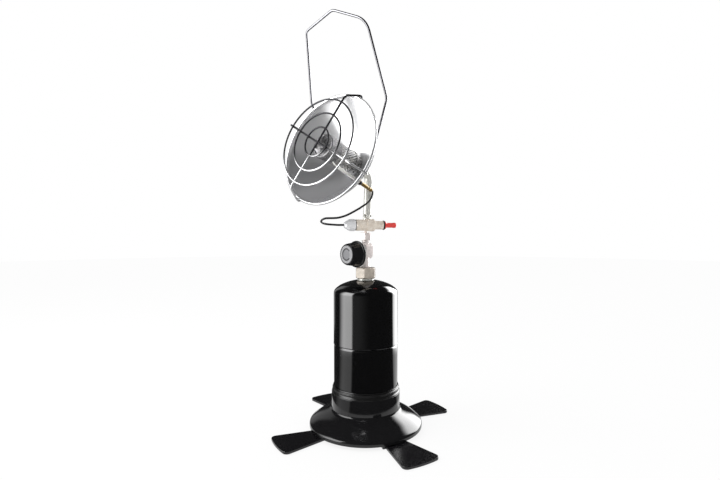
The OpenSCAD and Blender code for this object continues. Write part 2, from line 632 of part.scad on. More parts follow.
module bail_bracket() color(steel) head_frame() difference() {
    union() {
        translate([-bracket_half, -9, -dish_back - seat_gap - bracket_t])
            cube([2 * bracket_half, 18, bracket_t]);
        for (s = [-1, 1]) translate([s * (bracket_half - bracket_t / 2), 0, -hanger_pivot])
            rotate([0, 90, 0]) translate([0, 0, -bracket_t / 2]) {
                cylinder(h = bracket_t, r = ear_half);
                translate([-(hanger_pivot - dish_back - seat_gap), -ear_half, 0])
                    cube([hanger_pivot - dish_back - seat_gap, 2 * ear_half, bracket_t]);
            }
    }
    translate([0, 0, -dish_back - 5]) cylinder(h = 10, r = pipe_r + seat_gap);
    for (x = [-screw_x, screw_x]) translate([x, 0, -dish_back - 5]) cylinder(h = 10, r = 1.6);
    translate([-30, 0, -hanger_pivot]) rotate([0, 90, 0])
        cylinder(h = 60, r = hanger_wire + run_gap);
}
module bracket_screws() color(steel) head_frame() for (x = [-screw_x, screw_x])
    translate([x, 0, 0]) {
        translate([0, 0, -nut2_d - 4]) cylinder(h = nut2_d + 4 - flat_d + 3 + seat_gap, r = 1.5,
            $fn = 32);
        translate([0, 0, -flat_d + 3 + seat_gap]) cylinder(h = 1.8, r = 2.3);
        translate([0, 0, -nut2_d - 2.4]) cylinder(h = 2.4, r = 2.7, $fn = 6);
    }

// Burner
module burner_holder() color(dark_steel) head_frame() difference() {
    rotate_extrude() polygon([[pipe_r + seat_gap, -flat_d + seat_gap],
        [screen_r + 0.4, -flat_d + seat_gap], [screen_r + seat_gap + holder_wall, -flat_d + 0.8],
        [screen_r + seat_gap + holder_wall, -holder_depth],
        [screen_r + seat_gap, -holder_depth], [screen_r + seat_gap, -holder_depth - 4.5],
        [screen_r - 0.9, -holder_depth - 4.5], [screen_r - 0.9, -flat_d + 3],
        [pipe_r + seat_gap, -flat_d + 3]]);
    for (x = [-screw_x, screw_x]) translate([x, 0, -flat_d - 1]) cylinder(h = 6, r = 1.6);
    for (a = [20:40:340]) rotate([0, 0, a]) translate([5, -1.6, -flat_d + 4]) cube([20, 3.2, 4]);
}
module burner_screen() color(dark_steel) head_frame()
    tube(-holder_depth - 4.45, -cup_depth + 4, screen_r, screen_r - 0.8);
module burner_cup() color(dark_steel) head_frame() difference() {
    rotate_extrude() polygon([[0, cup_out], [cup_r - 2, cup_out], [cup_r - 0.6, cup_out - 0.6],
        [cup_r, cup_out - 2], [cup_r, -cup_depth], [screen_r + seat_gap, -cup_depth],
        [screen_r + seat_gap, -cup_depth + 4.05], [screen_r - 1, -cup_depth + 4.05],
        [screen_r - 1, cup_out - 1.2], [0, cup_out - 1.2]]);
    for (a = [0:45:315]) rotate([0, 0, a]) translate([6.5, -1.1, cup_out - 2]) cube([7, 2.2, 4]);
    translate([0, 0, cup_out - 2]) cylinder(h = 4, r = 3);
}

// Guard
weld_sink = 0.9;                                // how far welded wires sink into each other
module guard_ring(r) color(chrome) head_frame()
    translate([0, 0, guard_out + spoke_wire + ring_wire - weld_sink])
        rotate_extrude($fn = 96) translate([r, 0]) circle(r = ring_wire, $fn = 24);
module guard_ring_outer() guard_ring(ring_outer);
module guard_ring_middle() guard_ring(ring_middle);
module guard_ring_inner() guard_ring(ring_inner);
hook_gap = 0.5;                                 // from the rolled rim to the wire's hook
hook_r = dish_r + rim_bead + spoke_wire + hook_gap;
hook_back = rim_bead + 2.4;                     // how far the hook reaches behind the rim
hook_in = 4;
function guard_side(s, out) = [[s * guard_corner, 0, out], [s * hook_r, 0, 0.5],
    [s * (hook_r + 0.3), 0, -hook_back], [s * (hook_r - hook_in), 0, -hook_back - 1.2]];
function guard_path(out) = concat([for (i = [3:-1:0]) guard_side(-1, out)[i]],
    guard_side(1, out));
module guard_wire(turn, out) color(chrome) head_frame() rotate([0, 0, turn])
    sweep(soften(guard_path(out), 4, 4), spoke_wire, 10);
module guard_wire_a() guard_wire(guard_turn, guard_out);
module guard_wire_b() guard_wire(guard_turn + 90, guard_out - weld_sink);

// Electrode
module electrode_rod() color(steel) electrode_frame() {
    translate([0, 0, -ferrule_end + 3]) cylinder(h = ferrule_end - 9, r = 0.9, $fn = 24);
    bar([0, 0, -6], [-2, 3.2, -4.4], 0.9);
}
module electrode_insulator() color(ceramic) electrode_frame()
    tube(-collar_d + 0.2, -14, ceramic_r, 0.95);
module electrode_collar() color(black) electrode_frame()
    tube(-collar_d - 9.8, -collar_d, ceramic_r + 1.6, 0.95);
module electrode_ferrule() color(brass) electrode_frame() difference() {
    translate([0, 0, -ferrule_end]) cylinder(h = ferrule_end - collar_d - 10, r = ceramic_r + 0.3);
    translate([0, 0, -ferrule_end + 2.9]) cylinder(h = 60, r = 0.95, $fn = 24);
}

// Igniter
module igniter_clamp() color(nickel) difference() {
    union() {
        igniter_frame() translate([0, 0, -clamp_w / 2]) cylinder(h = clamp_w, r = barrel_r + 0.9);
        pipe_frame() translate([0, 0, igniter_rise - 5]) cylinder(h = 10, r = pipe_r + 1.6);
        igniter_frame() translate([-4, igniter_off, -5]) cube([8, pipe_r + 7, 10]);
    }
    igniter_frame() translate([0, 0, -20]) cylinder(h = 40, r = barrel_r + seat_gap);
    pipe_frame() cylinder(h = 30, r = pipe_r + seat_gap);
    igniter_frame() translate([-6, igniter_off + pipe_r - 1, -1]) cube([12, 10, 2]);
    igniter_frame() translate([0, igniter_off + pipe_r + 4, -10]) cylinder(h = 20, r = 1.6);
}
module clamp_screw() color(steel) igniter_frame() translate([0, igniter_off + pipe_r + 4, 0]) {
    translate([0, 0, -8.6]) cylinder(h = 15, r = 1.5, $fn = 32);
    translate([0, 0, 5 + seat_gap]) cylinder(h = 2.2, r = 2.8);
    translate([0, 0, -7.4 - seat_gap]) cylinder(h = 2.4, r = 3, $fn = 6);
}
module igniter_barrel() color(nickel) igniter_frame() rotate_extrude() polygon([
    [0, -barrel_back], [barrel_r - 0.6, -barrel_back], [barrel_r, -barrel_back + 0.6],
    [barrel_r, clamp_w / 2 + 1.4], [barrel_slim, clamp_w / 2 + 2.2], [barrel_slim, barrel_front],
    [bore_r, barrel_front], [bore_r, -barrel_back + 4], [0, -barrel_back + 4]]);
module igniter_washer() color(dark_steel) igniter_frame()
    translate([0, 0, -barrel_back - washer_len - seat_gap])
        cylinder(h = washer_len, r = barrel_r - 0.4);
module igniter_nut() color(chrome) igniter_frame()
    translate([0, 0, -barrel_back - washer_len - 2 * seat_gap]) intersection() {
        translate([0, 0, -igniter_nut_len]) cylinder(h = igniter_nut_len,
            r = (barrel_r - 0.5) * 2 / sqrt(3), $fn = 6);
        rotate_extrude() polygon([[0, -igniter_nut_len], [lead_r + 2, -igniter_nut_len],
            [barrel_r - 2.6, -igniter_nut_len + 3], [barrel_r, -igniter_nut_len * 0.55],
            [barrel_r + 0.6, -igniter_nut_len * 0.4], [barrel_r + 0.6, -1], [barrel_r - 0.6, 0],
            [0, 0]]);
    }
module igniter_collar() color(black) igniter_frame()
    tube(barrel_front + seat_gap, barrel_front + seat_gap + collar_len, barrel_slim + 0.6,
        button_r + run_gap);
module button_bezel() color(red) igniter_frame() rotate_extrude() polygon([
    [button_r + run_gap, bezel_end - bezel_len], [button_r + 2.2, bezel_end - bezel_len],
    [button_r + 1, bezel_end], [button_r + run_gap, bezel_end]]);
module igniter_button() color(red) igniter_frame() rotate_extrude() polygon([
    [0, button_in], [bore_r - run_gap, button_in], [bore_r - run_gap, button_in + 2],
    [button_r, button_in + 2.6], [button_r, bezel_end + button_out - 0.8],
    [button_r - 0.8, bezel_end + button_out], [0, bezel_end + button_out]]);
module igniter_spring() color(steel) igniter_frame() tube(0.6, button_in - button_travel - 0.3,
    3.9, 2.9);
module piezo_core() color(ceramic) igniter_frame() translate([0, 0, -barrel_back + 4.1])
    cylinder(h = barrel_back - 3.8, r = 4.3);

// Hanger
function set_over(w, s) = [w * cos(hanger_skew) + s * sin(hanger_skew),
    s * cos(hanger_skew) - w * sin(hanger_skew)];
function hanger_pt(w, s) = let (k = set_over(w, s)) hanger_at
    + [k[0], -k[1] * sin(hanger_lean), k[1] * cos(hanger_lean)];
module bail_wire() color(chrome) {
    out = [hanger_out, 0, 0];
    tip = [bracket_half - 5, 0, 0];
    wire([hanger_at - tip, hanger_at - out, hanger_pt(-bend_half, bend_rise),
        hanger_pt(-shoulder_half, shoulder_rise), hanger_pt(0, peak_rise),
        hanger_pt(shoulder_half, shoulder_rise), hanger_pt(bend_half, bend_rise),
        hanger_at + out, hanger_at + tip], hanger_wire);
}

// Ignition lead: an eight-sided tube swept along its points
lead_sides = 8;
function electrode_pt(d) = let (y = -electrode_drop - d * sin(electrode_tilt),
    z = d * cos(electrode_tilt)) [electrode_x, z * cos(head_tilt) + y * sin(head_tilt) - rim_reach,
    rim_z - z * sin(head_tilt) + y * cos(head_tilt)];
igniter_dir = [cos(igniter_heading), sin(igniter_heading), 0];
nut_tip = igniter_at - (barrel_back + washer_len + igniter_nut_len + 3 * seat_gap) * igniter_dir;
lead_pts = concat([electrode_pt(ferrule_end + seat_gap), electrode_pt(ferrule_end + 1)], lead_mid,
    [nut_tip - 10 * igniter_dir, nut_tip - 4.5 * igniter_dir, nut_tip]);
module ignition_lead() color(black) sweep(lead_pts, lead_r, lead_sides);

base_shell();
grip_ring();
leg_right();
leg_back();
leg_left();
leg_front();
leg_pins();
foot_pad_right();
foot_pad_back();
foot_pad_left();
foot_pad_front();
cylinder_lower();
cylinder_upper();
neck_boss();
core_body();
core_pin();
core_spring();
relief_valve();
inlet_nut();
inlet_seal();
depressor_pin();
valve_body();
valve_stem();
stem_seal();
packing_nut();
valve_knob();
knob_dial();
knob_screw();
jet_nut();
orifice_jet();
burner_pipe();
tube_nut();
reflector();
bail_bracket();
bracket_screws();
burner_holder();
burner_screen();
burner_cup();
guard_ring_outer();
guard_ring_middle();
guard_ring_inner();
guard_wire_a();
guard_wire_b();
electrode_rod();
electrode_insulator();
electrode_collar();
electrode_ferrule();
igniter_clamp();
clamp_screw();
igniter_barrel();
igniter_washer();
igniter_nut();
igniter_collar();
button_bezel();
igniter_button();
igniter_spring();
piezo_core();
bail_wire();
ignition_lead();
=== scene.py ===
# A portable propane heater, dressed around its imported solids.
# Shapes are worked out in millimetres and put into the frame in metres.
import math

import bmesh
import bpy
import numpy as np
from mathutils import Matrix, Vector


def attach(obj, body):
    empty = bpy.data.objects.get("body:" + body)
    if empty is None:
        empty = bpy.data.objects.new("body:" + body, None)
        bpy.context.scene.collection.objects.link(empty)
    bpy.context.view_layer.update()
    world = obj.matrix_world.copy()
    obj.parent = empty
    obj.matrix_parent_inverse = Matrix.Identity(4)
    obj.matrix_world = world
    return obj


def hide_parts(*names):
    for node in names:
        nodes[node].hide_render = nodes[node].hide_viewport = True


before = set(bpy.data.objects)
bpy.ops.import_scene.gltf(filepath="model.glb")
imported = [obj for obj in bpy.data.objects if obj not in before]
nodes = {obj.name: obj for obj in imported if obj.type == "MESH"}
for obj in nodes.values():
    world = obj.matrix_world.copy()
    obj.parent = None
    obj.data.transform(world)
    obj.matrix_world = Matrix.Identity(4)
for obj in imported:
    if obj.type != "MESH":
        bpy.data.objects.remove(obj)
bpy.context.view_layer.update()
mm = 0.001
print("frame loaded:", len(nodes), "nodes")

# Camera
camera = dict(
    heading=37.08,  # degrees to the right of straight in front
    distance=0.700,
    height=0.2944,
    pitch=0.01,  # radians, downwards
    lens=22.66,
    centreColumn=365.7,  # the cylinder's axis, in the photograph's 720 columns
    columns=720,
)


def makeCamera(c):
    # stands back along its heading, and looks forward and a little down
    a = math.radians(c["heading"])
    level, drop = math.cos(c["pitch"]), math.sin(c["pitch"])
    forward = Vector((-math.sin(a) * level, math.cos(a) * level, -drop))
    data = bpy.data.cameras.new("camera")
    data.lens = c["lens"]
    data.sensor_width = 36
    data.shift_x = (c["columns"] / 2 - c["centreColumn"]) / c["columns"]
    data.clip_start = 0.01
    shown = bpy.data.objects.new("camera", data)
    shown.location = (c["distance"] * math.sin(a), -c["distance"] * math.cos(a), c["height"])
    shown.rotation_mode = "QUATERNION"
    shown.rotation_quaternion = forward.to_track_quat("-Z", "Y")
    bpy.context.scene.collection.objects.link(shown)
    bpy.context.scene.camera = shown


makeCamera(camera)

# Frames of reference: an origin, and the x, y and z axes as rows
head = dict(rimHeight=414.8, reach=86.3, tilt=math.radians(14.7))
pipe = dict(foot=303.03, back=2, lean=math.radians(4.4), radius=6.35, wall=1.0, bend=16,
            inlet=2.5, inletRise=21, inletTurn=7.5)
valve = dict(height=266.03, yaw=math.radians(-10))
igniter = dict(rise=7, heading=math.radians(54), barrel=8.5, gap=0.15)
electrode = dict(side=10.5, drop=21.3, tilt=math.radians(3.7))


def framed(x, y, z, origin):
    return np.asarray(origin, float), np.array([x, y, z], float)


def turned(at, place, about, angle):
    # a frame moved by place inside another one and turned about its x (0) or z (2) axis
    origin, axes = at
    c, s = math.cos(angle), math.sin(angle)
    local = [[1, 0, 0], [0, c, s], [0, -s, c]] if about == 0 else [[c, s, 0], [-s, c, 0], [0, 0, 1]]
    return origin + np.asarray(place, float) @ axes, np.array(local) @ axes


def toPart(points, at):
    # a point lands at origin + its x, y and z times the frame's three axes
    return np.asarray(points, float) @ at[1] + at[0]


upright = framed((1, 0, 0), (0, 1, 0), (0, 0, 1), (0, 0, 0))
headFrame = turned(framed((1, 0, 0), (0, 0, 1), (0, -1, 0), (0, -head["reach"], head["rimHeight"])),
                   (0, 0, 0), 0, -head["tilt"])
valveFrame = framed((math.cos(valve["yaw"]), math.sin(valve["yaw"]), 0), (0, 0, 1),
                    (math.sin(valve["yaw"]), -math.cos(valve["yaw"]), 0), (0, 0, valve["height"]))
pipeFrame = turned(upright, (0, pipe["back"], pipe["foot"]), 0, -pipe["lean"])
electrodeFrame = turned(headFrame, (electrode["side"], -electrode["drop"], 0), 0,
                        -electrode["tilt"])
buttonWay = np.array([math.cos(igniter["heading"]), math.sin(igniter["heading"]), 0])
clampWay = np.array([-buttonWay[1], buttonWay[0], 0])
pipeThere = toPart((0, 0, igniter["rise"] / math.cos(pipe["lean"])), pipeFrame)
igniterFrame = framed((0, 0, -1), clampWay, buttonWay,
                      pipeThere - (pipe["radius"] + igniter["barrel"] + igniter["gap"]) * clampWay)


# Outlines and paths
def unit(v):
    v = np.asarray(v, float)
    return v / np.linalg.norm(v, axis=-1, keepdims=True)


def arc(centre, radius, first, last, steps=12):
    # centre + radius * (cos a, sin a)
    a = np.radians(np.linspace(first, last, steps + 1))
    return np.asarray(centre, float) + radius * np.stack([np.cos(a), np.sin(a)], 1)


def softened(points, cut, closed=False, steps=5):
    # corner p becomes (1-t)^2 a + 2t(1-t) p + t^2 b, with a and b up to cut away on its two sides
    p = np.asarray(points, float)
    cut = np.broadcast_to(np.asarray(cut, float), len(p))

    def toward(q):
        step = q - p
        length = np.maximum(np.linalg.norm(step, axis=1), 1e-9)
        return p + step * (np.minimum(cut, 0.47 * length) / length)[:, None]

    a, b = toward(np.roll(p, 1, 0)), toward(np.roll(p, -1, 0))
    t = np.linspace(0, 1, steps + 1)[None, :, None]
    curve = (1 - t) ** 2 * a[:, None] + 2 * t * (1 - t) * p[:, None] + t * t * b[:, None]
    if closed:
        return curve.reshape(-1, p.shape[1])
    return np.concatenate([p[:1], curve[1:-1].reshape(-1, p.shape[1]), p[-1:]])


def spline(points, steps=4):
    # a Catmull-Rom curve: a cubic in t from each point to the next
    p = np.asarray(points, float)
    p = np.concatenate([2 * p[:1] - p[1:2], p, 2 * p[-1:] - p[-2:-1]])
    a, b, c, d = (p[i : len(p) - 3 + i, None] for i in range(4))
    t = np.linspace(0, 1, steps, endpoint=False)[None, :, None]
    curve = 0.5 * (2 * b + (c - a) * t + (2 * a - 5 * b + 4 * c - d) * t**2
                   + (3 * b - a - 3 * c + d) * t**3)
    return np.concatenate([curve.reshape(-1, p.shape[1]), p[-2:-1]])


def distances(p):
    # how far along the line each of its points lies
    return np.concatenate([[0], np.cumsum(np.linalg.norm(np.diff(p, axis=0), axis=1))])


def dense(points, step):
    # the same line with points no further apart than step
    p = np.asarray(points, float)
    along = distances(p)
    at = np.unique(np.concatenate([np.arange(0, along[-1], step), along]).round(5))
    return np.stack([np.interp(at, along, p[:, k]) for k in range(p.shape[1])], 1)


# Surfaces: each gives its points and its faces
def quads(rows, wrapRows=False, wrapColumns=True):
    n, m = rows.shape[:2]
    i = np.arange(n if wrapRows else n - 1)
    j = np.arange(m if wrapColumns else m - 1)
    a, b = np.meshgrid(i, j, indexing="ij")
    a2, b2 = (a + 1) % n, (b + 1) % m
    faces = np.stack([a * m + b, a * m + b2, a2 * m + b2, a2 * m + b], -1).reshape(-1, 4).tolist()
    if wrapColumns and not wrapRows:
        faces += [list(range(m))[::-1], list(range((n - 1) * m, n * m))]
    return rows.reshape(-1, 3), faces


def around(r, a, z):
    # (r cos a, r sin a, z)
    return np.stack([r * np.cos(a), r * np.sin(a), z + 0 * a], -1)


def turnedRows(outline, turns=96):
    # an outline point (r, z), carried round the z axis
    r, z = np.asarray(outline, float).T
    return around(r[:, None], np.linspace(0, 2 * np.pi, turns, endpoint=False), z[:, None])


def lathe(outline, turns=96):
    # a ring where the outline stays off the axis, and otherwise a solid closed at its poles
    return quads(turnedRows(outline, turns), wrapRows=outline[0][0] > 1e-6)


def polar(rows):
    return np.hypot(rows[..., 0], rows[..., 1]), np.arctan2(rows[..., 1], rows[..., 0])


def scaledRadius(rows, share):
    rows = rows.copy()
    rows[..., :2] *= share[..., None]
    return rows


def hexBar(outline, flats, turns=144, crisp=70):
    # a turned blank cut to the hexagon whose radius is flats / 2 over the largest |cos(a - side)|
    rows = turnedRows(dense(outline, flats / 60), turns)
    r, a = polar(rows)
    sides = np.abs(np.cos(a[..., None] - np.radians([30, 90, 150])))
    hexagon = flats / 2 * (sides**crisp).sum(-1) ** (-1 / crisp)
    return quads(scaledRadius(rows, np.minimum(1, hexagon / np.maximum(r, 1e-6))),
                 wrapRows=outline[0][0] > 1e-6)


def threadRows(rows, low, high, pitch, depth, least):
    # outer radius less depth * (1 + cos of 2 pi z / pitch - a) / 2, faded out over half a pitch
    r, a = polar(rows)
    z = rows[..., 2]
    fade = np.clip(np.minimum(z - low, high - z) / (0.5 * pitch), 0, 1) * (r > least)
    cut = depth * fade * (0.5 + 0.5 * np.cos(2 * np.pi * z / pitch - a))
    return scaledRadius(rows, 1 - cut / np.maximum(r, 1e-6))


def ringsAlong(path, way, radius, sides, sideways):
    # circles square to the way: u cos a + w sin a, where u is the sideways direction made square
    side = np.asarray(sideways, float)
    u = unit(side - (way @ side)[:, None] * way)
    w = np.cross(way, u)
    a = np.linspace(0, 2 * np.pi, sides, endpoint=False)
    ring = u[:, None] * np.cos(a)[None, :, None] + w[:, None] * np.sin(a)[None, :, None]
    return path[:, None] + np.broadcast_to(radius, len(path))[:, None, None] * ring


def tube(path, radius, sides, sideways, closed=False, endRound=0.4, endRings=5):
    # an open tube ends in domes of height endRound * radius
    p = np.asarray(path, float)
    if closed:
        way = unit(np.roll(p, -1, 0) - np.roll(p, 1, 0))
        return quads(ringsAlong(p, way, radius, sides, sideways), wrapRows=True)
    way = unit(np.gradient(p, axis=0))
    first, last = unit(p[0] - p[1]), unit(p[-1] - p[-2])
    q = np.linspace(0, np.pi / 2, endRings + 1)[:-1]
    lift = (radius * endRound * np.cos(q))[:, None]
    p = np.concatenate([p[:1] + first * lift, p, (p[-1:] + last * lift)[::-1]])
    r = np.concatenate([radius * np.sin(q), np.full(len(path), float(radius)),
                        radius * np.sin(q)[::-1]])
    way = np.concatenate([-first[None].repeat(endRings, 0), way, last[None].repeat(endRings, 0)])
    return quads(ringsAlong(p, way, r, sides, sideways))


def plate(outline, low, high, bevel=0.4, steps=3):
    # the outline drawn in by bevel * (1 - sin q) at bevel * (1 - cos q) from each face
    p = np.asarray(outline, float)
    side = unit(np.roll(p, -1, 0) - np.roll(p, 1, 0))
    outward = np.stack([side[:, 1], -side[:, 0]], 1)
    q = np.linspace(0, np.pi / 2, steps + 1)
    inset = bevel * (1 - np.sin(q))
    rise = bevel * (1 - np.cos(q))
    z = np.concatenate([low + rise, (high - rise)[::-1]])
    flat = p[None] - outward[None] * np.concatenate([inset, inset[::-1]])[:, None, None]
    z = np.broadcast_to(z[:, None, None], flat.shape[:2] + (1,))
    return quads(np.concatenate([flat, z], -1))


def bead(centre, radius, flat=1.0, turns=20):
    # a round lump, flat times as tall as it is wide
    q = np.linspace(-np.pi / 2, np.pi / 2, 11)
    points, faces = lathe(np.stack([radius * np.cos(q), radius * flat * np.sin(q)], 1), turns)
    return points + np.asarray(centre, float), faces


def perforated(columns, levels, cellHeight, radius, hole, spokes, put, low, turn=0.0,
               stagger=0.0):
    # each cell of an unrolled tube is three rings from a round hole out to the cell's own edge
    t = 2 * np.pi * np.arange(spokes) / spokes
    halfWide, halfHigh = np.pi * radius / columns, cellHeight / 2
    turns = t / (np.pi / 2)
    wide = np.clip(2 - 2 * np.abs((turns + 2) % 4 - 2), -1, 1)
    high = np.clip(2 - 2 * np.abs((turns + 1) % 4 - 2), -1, 1)
    edge = np.stack([halfWide * wide, halfHigh * high], 1)
    rim = hole * np.stack([np.cos(t), np.sin(t)], 1)
    cell = np.stack([rim, 0.5 * rim + 0.5 * edge, edge])
    i, j = np.meshgrid(np.arange(levels), np.arange(columns), indexing="ij")
    wide = (2 * j + 2 * stagger * (i % 2)) * halfWide
    high = low + (2 * i + 1) * halfHigh
    flat = cell[None, None] + np.stack([wide, high], -1)[:, :, None, None]
    points = put(flat[..., 1], flat[..., 0] / radius + math.radians(turn), radius).reshape(-1, 3)
    k = np.arange(spokes)
    one = np.concatenate([np.stack([m + k, m + spokes + k, m + spokes + (k + 1) % spokes,
                                    m + (k + 1) % spokes], 1) for m in (0, spokes)])
    starts = np.arange(levels * columns)[:, None, None] * 3 * spokes
    return points, (one[None] + starts).reshape(-1, 4).tolist()


def turnedPart(outline, cut, turns, steps=3):
    # a lathed outline with its corners softened, all round where it stays off the axis
    return lathe(softened(outline, cut, outline[0][0] > 1e-6, steps), turns)


def placed(part, at):
    return toPart(part[0], at), part[1]


# Meshes
def addPiece(name, parts, at, body, finish, node=None, sharp=38):
    # joins the parts' points and faces in one mesh, closed and facing outwards
    points, faces = [], []
    for some, corners in parts:
        start = sum(len(x) for x in points)
        faces += [[start + k for k in face] for face in corners]
        points.append(some)
    mesh = bpy.data.meshes.new(name)
    mesh.from_pydata((toPart(np.concatenate(points), at) * mm).tolist(), [], faces)
    return finishMesh(name, mesh, body, finish, node, sharp)


def finishMesh(name, mesh, body, finish, node, sharp):
    # edges sharper than so many degrees stay crisp; the piece stands for the node, if there is one
    work = bmesh.new()
    work.from_mesh(mesh)
    bmesh.ops.remove_doubles(work, verts=work.verts, dist=2e-6)
    bmesh.ops.dissolve_degenerate(work, edges=work.edges, dist=1e-6)
    bmesh.ops.recalc_face_normals(work, faces=work.faces)
    work.to_mesh(mesh)
    work.free()
    mesh.polygons.foreach_set("use_smooth", np.ones(len(mesh.polygons), bool))
    mesh.set_sharp_from_angle(angle=math.radians(sharp))
    piece = bpy.data.objects.new(name, mesh)
    bpy.context.scene.collection.objects.link(piece)
    mesh.materials.clear()
    mesh.materials.append(finishes[finish].material)
    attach(piece, body)
    if node:
        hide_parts(node)
    return piece


def finishedCopy(node, body, finish, bevel, sharp=32):
    # a node's own shape: doubles merged, flat faces joined, and its edges rounded
    mesh = nodes[node].data.copy()
    work = bmesh.new()
    work.from_mesh(mesh)
    bmesh.ops.remove_doubles(work, verts=work.verts, dist=2e-6)
    bmesh.ops.dissolve_limit(work, angle_limit=math.radians(1), verts=work.verts, edges=work.edges)
    work.to_mesh(mesh)
    work.free()
    piece = finishMesh(node + "_finished", mesh, body, finish, node, sharp)
    rounding = piece.modifiers.new("rounding", "BEVEL")
    rounding.width = bevel * mm
    rounding.segments = 2
    rounding.limit_method = "ANGLE"
    rounding.angle_limit = math.radians(sharp)


def thicken(piece, thickness):
    # a wall from the surface inwards
    wall = piece.modifiers.new("wall", "SOLIDIFY")
    wall.thickness = thickness * mm
    wall.offset = -1


# Materials
class Signal:
    # a value in a graph of shader nodes; arithmetic on it adds Math nodes
    def __init__(self, graph, socket):
        self.graph, self.socket = graph, socket

    def __add__(self, other):
        return self.graph.math("ADD", self, other)

    def __rsub__(self, other):
        return self.graph.math("SUBTRACT", other, self)

    def __mul__(self, other):
        return self.graph.math("MULTIPLY", self, other)

    def __pow__(self, other):
        return self.graph.math("POWER", self, other)

    __radd__, __rmul__ = __add__, __mul__


class Graph:
    # a tree of shader nodes
    def __init__(self, tree):
        self.tree = tree

    def node(self, kind, settings, values, output=0):
        # a new node with these settings, its inputs linked to signals or set to plain values
        made = self.tree.nodes.new(kind)
        for key, value in settings.items():
            setattr(made, key, value)
        for key, value in values.items():
            if isinstance(value, Signal):
                self.tree.links.new(value.socket, made.inputs[key])
            else:
                made.inputs[key].default_value = value
        return Signal(self, made.outputs[output])

    def math(self, operation, *values):
        return self.node("ShaderNodeMath", dict(operation=operation), dict(enumerate(values)))

    def rays(self, camera=1.0):
        # camera for rays from the camera, and 1 for mirrored and transmitted ones
        seen, glossy, passed = (self.node("ShaderNodeLightPath", {}, {}, kind) for kind in
                                ("Is Camera Ray", "Is Glossy Ray", "Is Transmission Ray"))
        return camera * seen + glossy + passed


class Finish(Graph):
    # a procedural material on Object coordinates, read in millimetres
    def __init__(self, name, colour=(0.5, 0.5, 0.5), roughness=0.4, metallic=0.0, **fixed):
        self.material = bpy.data.materials.new(name)
        self.material.use_nodes = True
        super().__init__(self.material.node_tree)
        self.shader = self.tree.nodes["Principled BSDF"]
        self.shader.inputs["Base Color"].default_value = (*colour, 1)
        self.shader.inputs["Roughness"].default_value = roughness
        self.shader.inputs["Metallic"].default_value = metallic
        for label, value in fixed.items():
            self.shader.inputs[label.replace("_", " ")].default_value = value
        coordinates = self.node("ShaderNodeTexCoord", {}, {}, "Object")
        self.place = self.vector("SCALE", coordinates, Scale=1 / mm)

    def vector(self, operation, first, second=(0, 0, 0), output=0, **values):
        return self.node("ShaderNodeVectorMath", dict(operation=operation),
                         {0: first, 1: second, **values}, output)

    def feed(self, label, signal):
        self.tree.links.new(signal.socket, self.shader.inputs[label])

    def surface(self, signal):
        self.tree.links.new(signal.socket, self.tree.nodes["Material Output"].inputs["Surface"])

    def glow(self, level):
        return self.node("ShaderNodeEmission", {}, {"Color": (1, 1, 1, 1), "Strength": level})

    def noise(self, size, detail=2.0, rough=0.5, stretch=(1, 1, 1), at=None):
        # noise whose lumps are about size millimetres, drawn out by stretch
        place = self.vector("DIVIDE", at or self.place, stretch)
        return self.node("ShaderNodeTexNoise", {}, {"Vector": place, "Scale": 1 / size,
                                                    "Detail": detail, "Roughness": rough})

    def local(self, at):
        # x, y and z in a frame: the dot products of (place - origin) with its axes
        offset = self.vector("SUBTRACT", self.place, tuple(at[0]))
        return [self.vector("DOT_PRODUCT", offset, tuple(axis), "Value") for axis in at[1]]

    def ramp(self, signal, low, high):
        # 0 below low, 1 above high, and smooth between them
        return self.node("ShaderNodeMapRange", dict(interpolation_type="SMOOTHSTEP"),
                         {"Value": signal, "From Min": low, "From Max": high})

    def blend(self, share, first, second):
        ends = [v if isinstance(v, Signal) else (*v, 1) for v in (first, second)]
        values = {0: share, 6: ends[0], 7: ends[1]}  # the factor and the two colours
        return self.node("ShaderNodeMix", dict(data_type="RGBA"), values, 2)

    def coat(self, colour, roughness, height, depth):
        # a colour, a roughness, and bumps of height times depth millimetres
        self.feed("Base Color", colour)
        self.feed("Roughness", roughness)
        values = {"Height": height, "Strength": 1.0, "Distance": depth * mm}
        self.feed("Normal", self.node("ShaderNodeBump", {}, values, "Normal"))
        return self


def makePlastic(name, dark, pale, smooth, grain):
    # moulded plastic: a faint cloud of tint, and a fine grain
    f = Finish(name, IOR=1.46)
    cloud, fine = f.noise(9, 3), f.noise(0.45, 2)
    return f.coat(f.blend(cloud, dark, pale), smooth + 0.1 * cloud + 0.05 * fine, fine, grain)


def makeEnamel():
    # sprayed gloss: long shallow waves, and a few dull rubs
    f = Finish("enamel", IOR=1.5, Coat_Roughness=0.03, Coat_Weight=0.7)
    waves, rubs = f.noise(7, 2), f.noise(1.2, 4, stretch=(1, 1, 9))
    worn = f.ramp(rubs, 0.62, 0.8)
    colour = f.blend(worn, (0.002, 0.002, 0.0022), (0.007, 0.007, 0.008))
    return f.coat(colour, 0.09 + 0.12 * worn, waves, 0.03)


def makeMetal(name, metallic, colour, tint, smooth, grain=0.006, stretch=(1, 1, 1), size=1.2):
    # plated metal: a slow change of tint, and fine marks drawn out by stretch
    f = Finish(name, metallic=metallic)
    cloud, marks = f.noise(5, 3), f.noise(size, 3, 0.6, stretch)
    slow = f.blend(f.ramp(cloud, 0.3, 0.7), colour, tint)
    return f.coat(slow, smooth + 0.12 * marks, marks, grain)


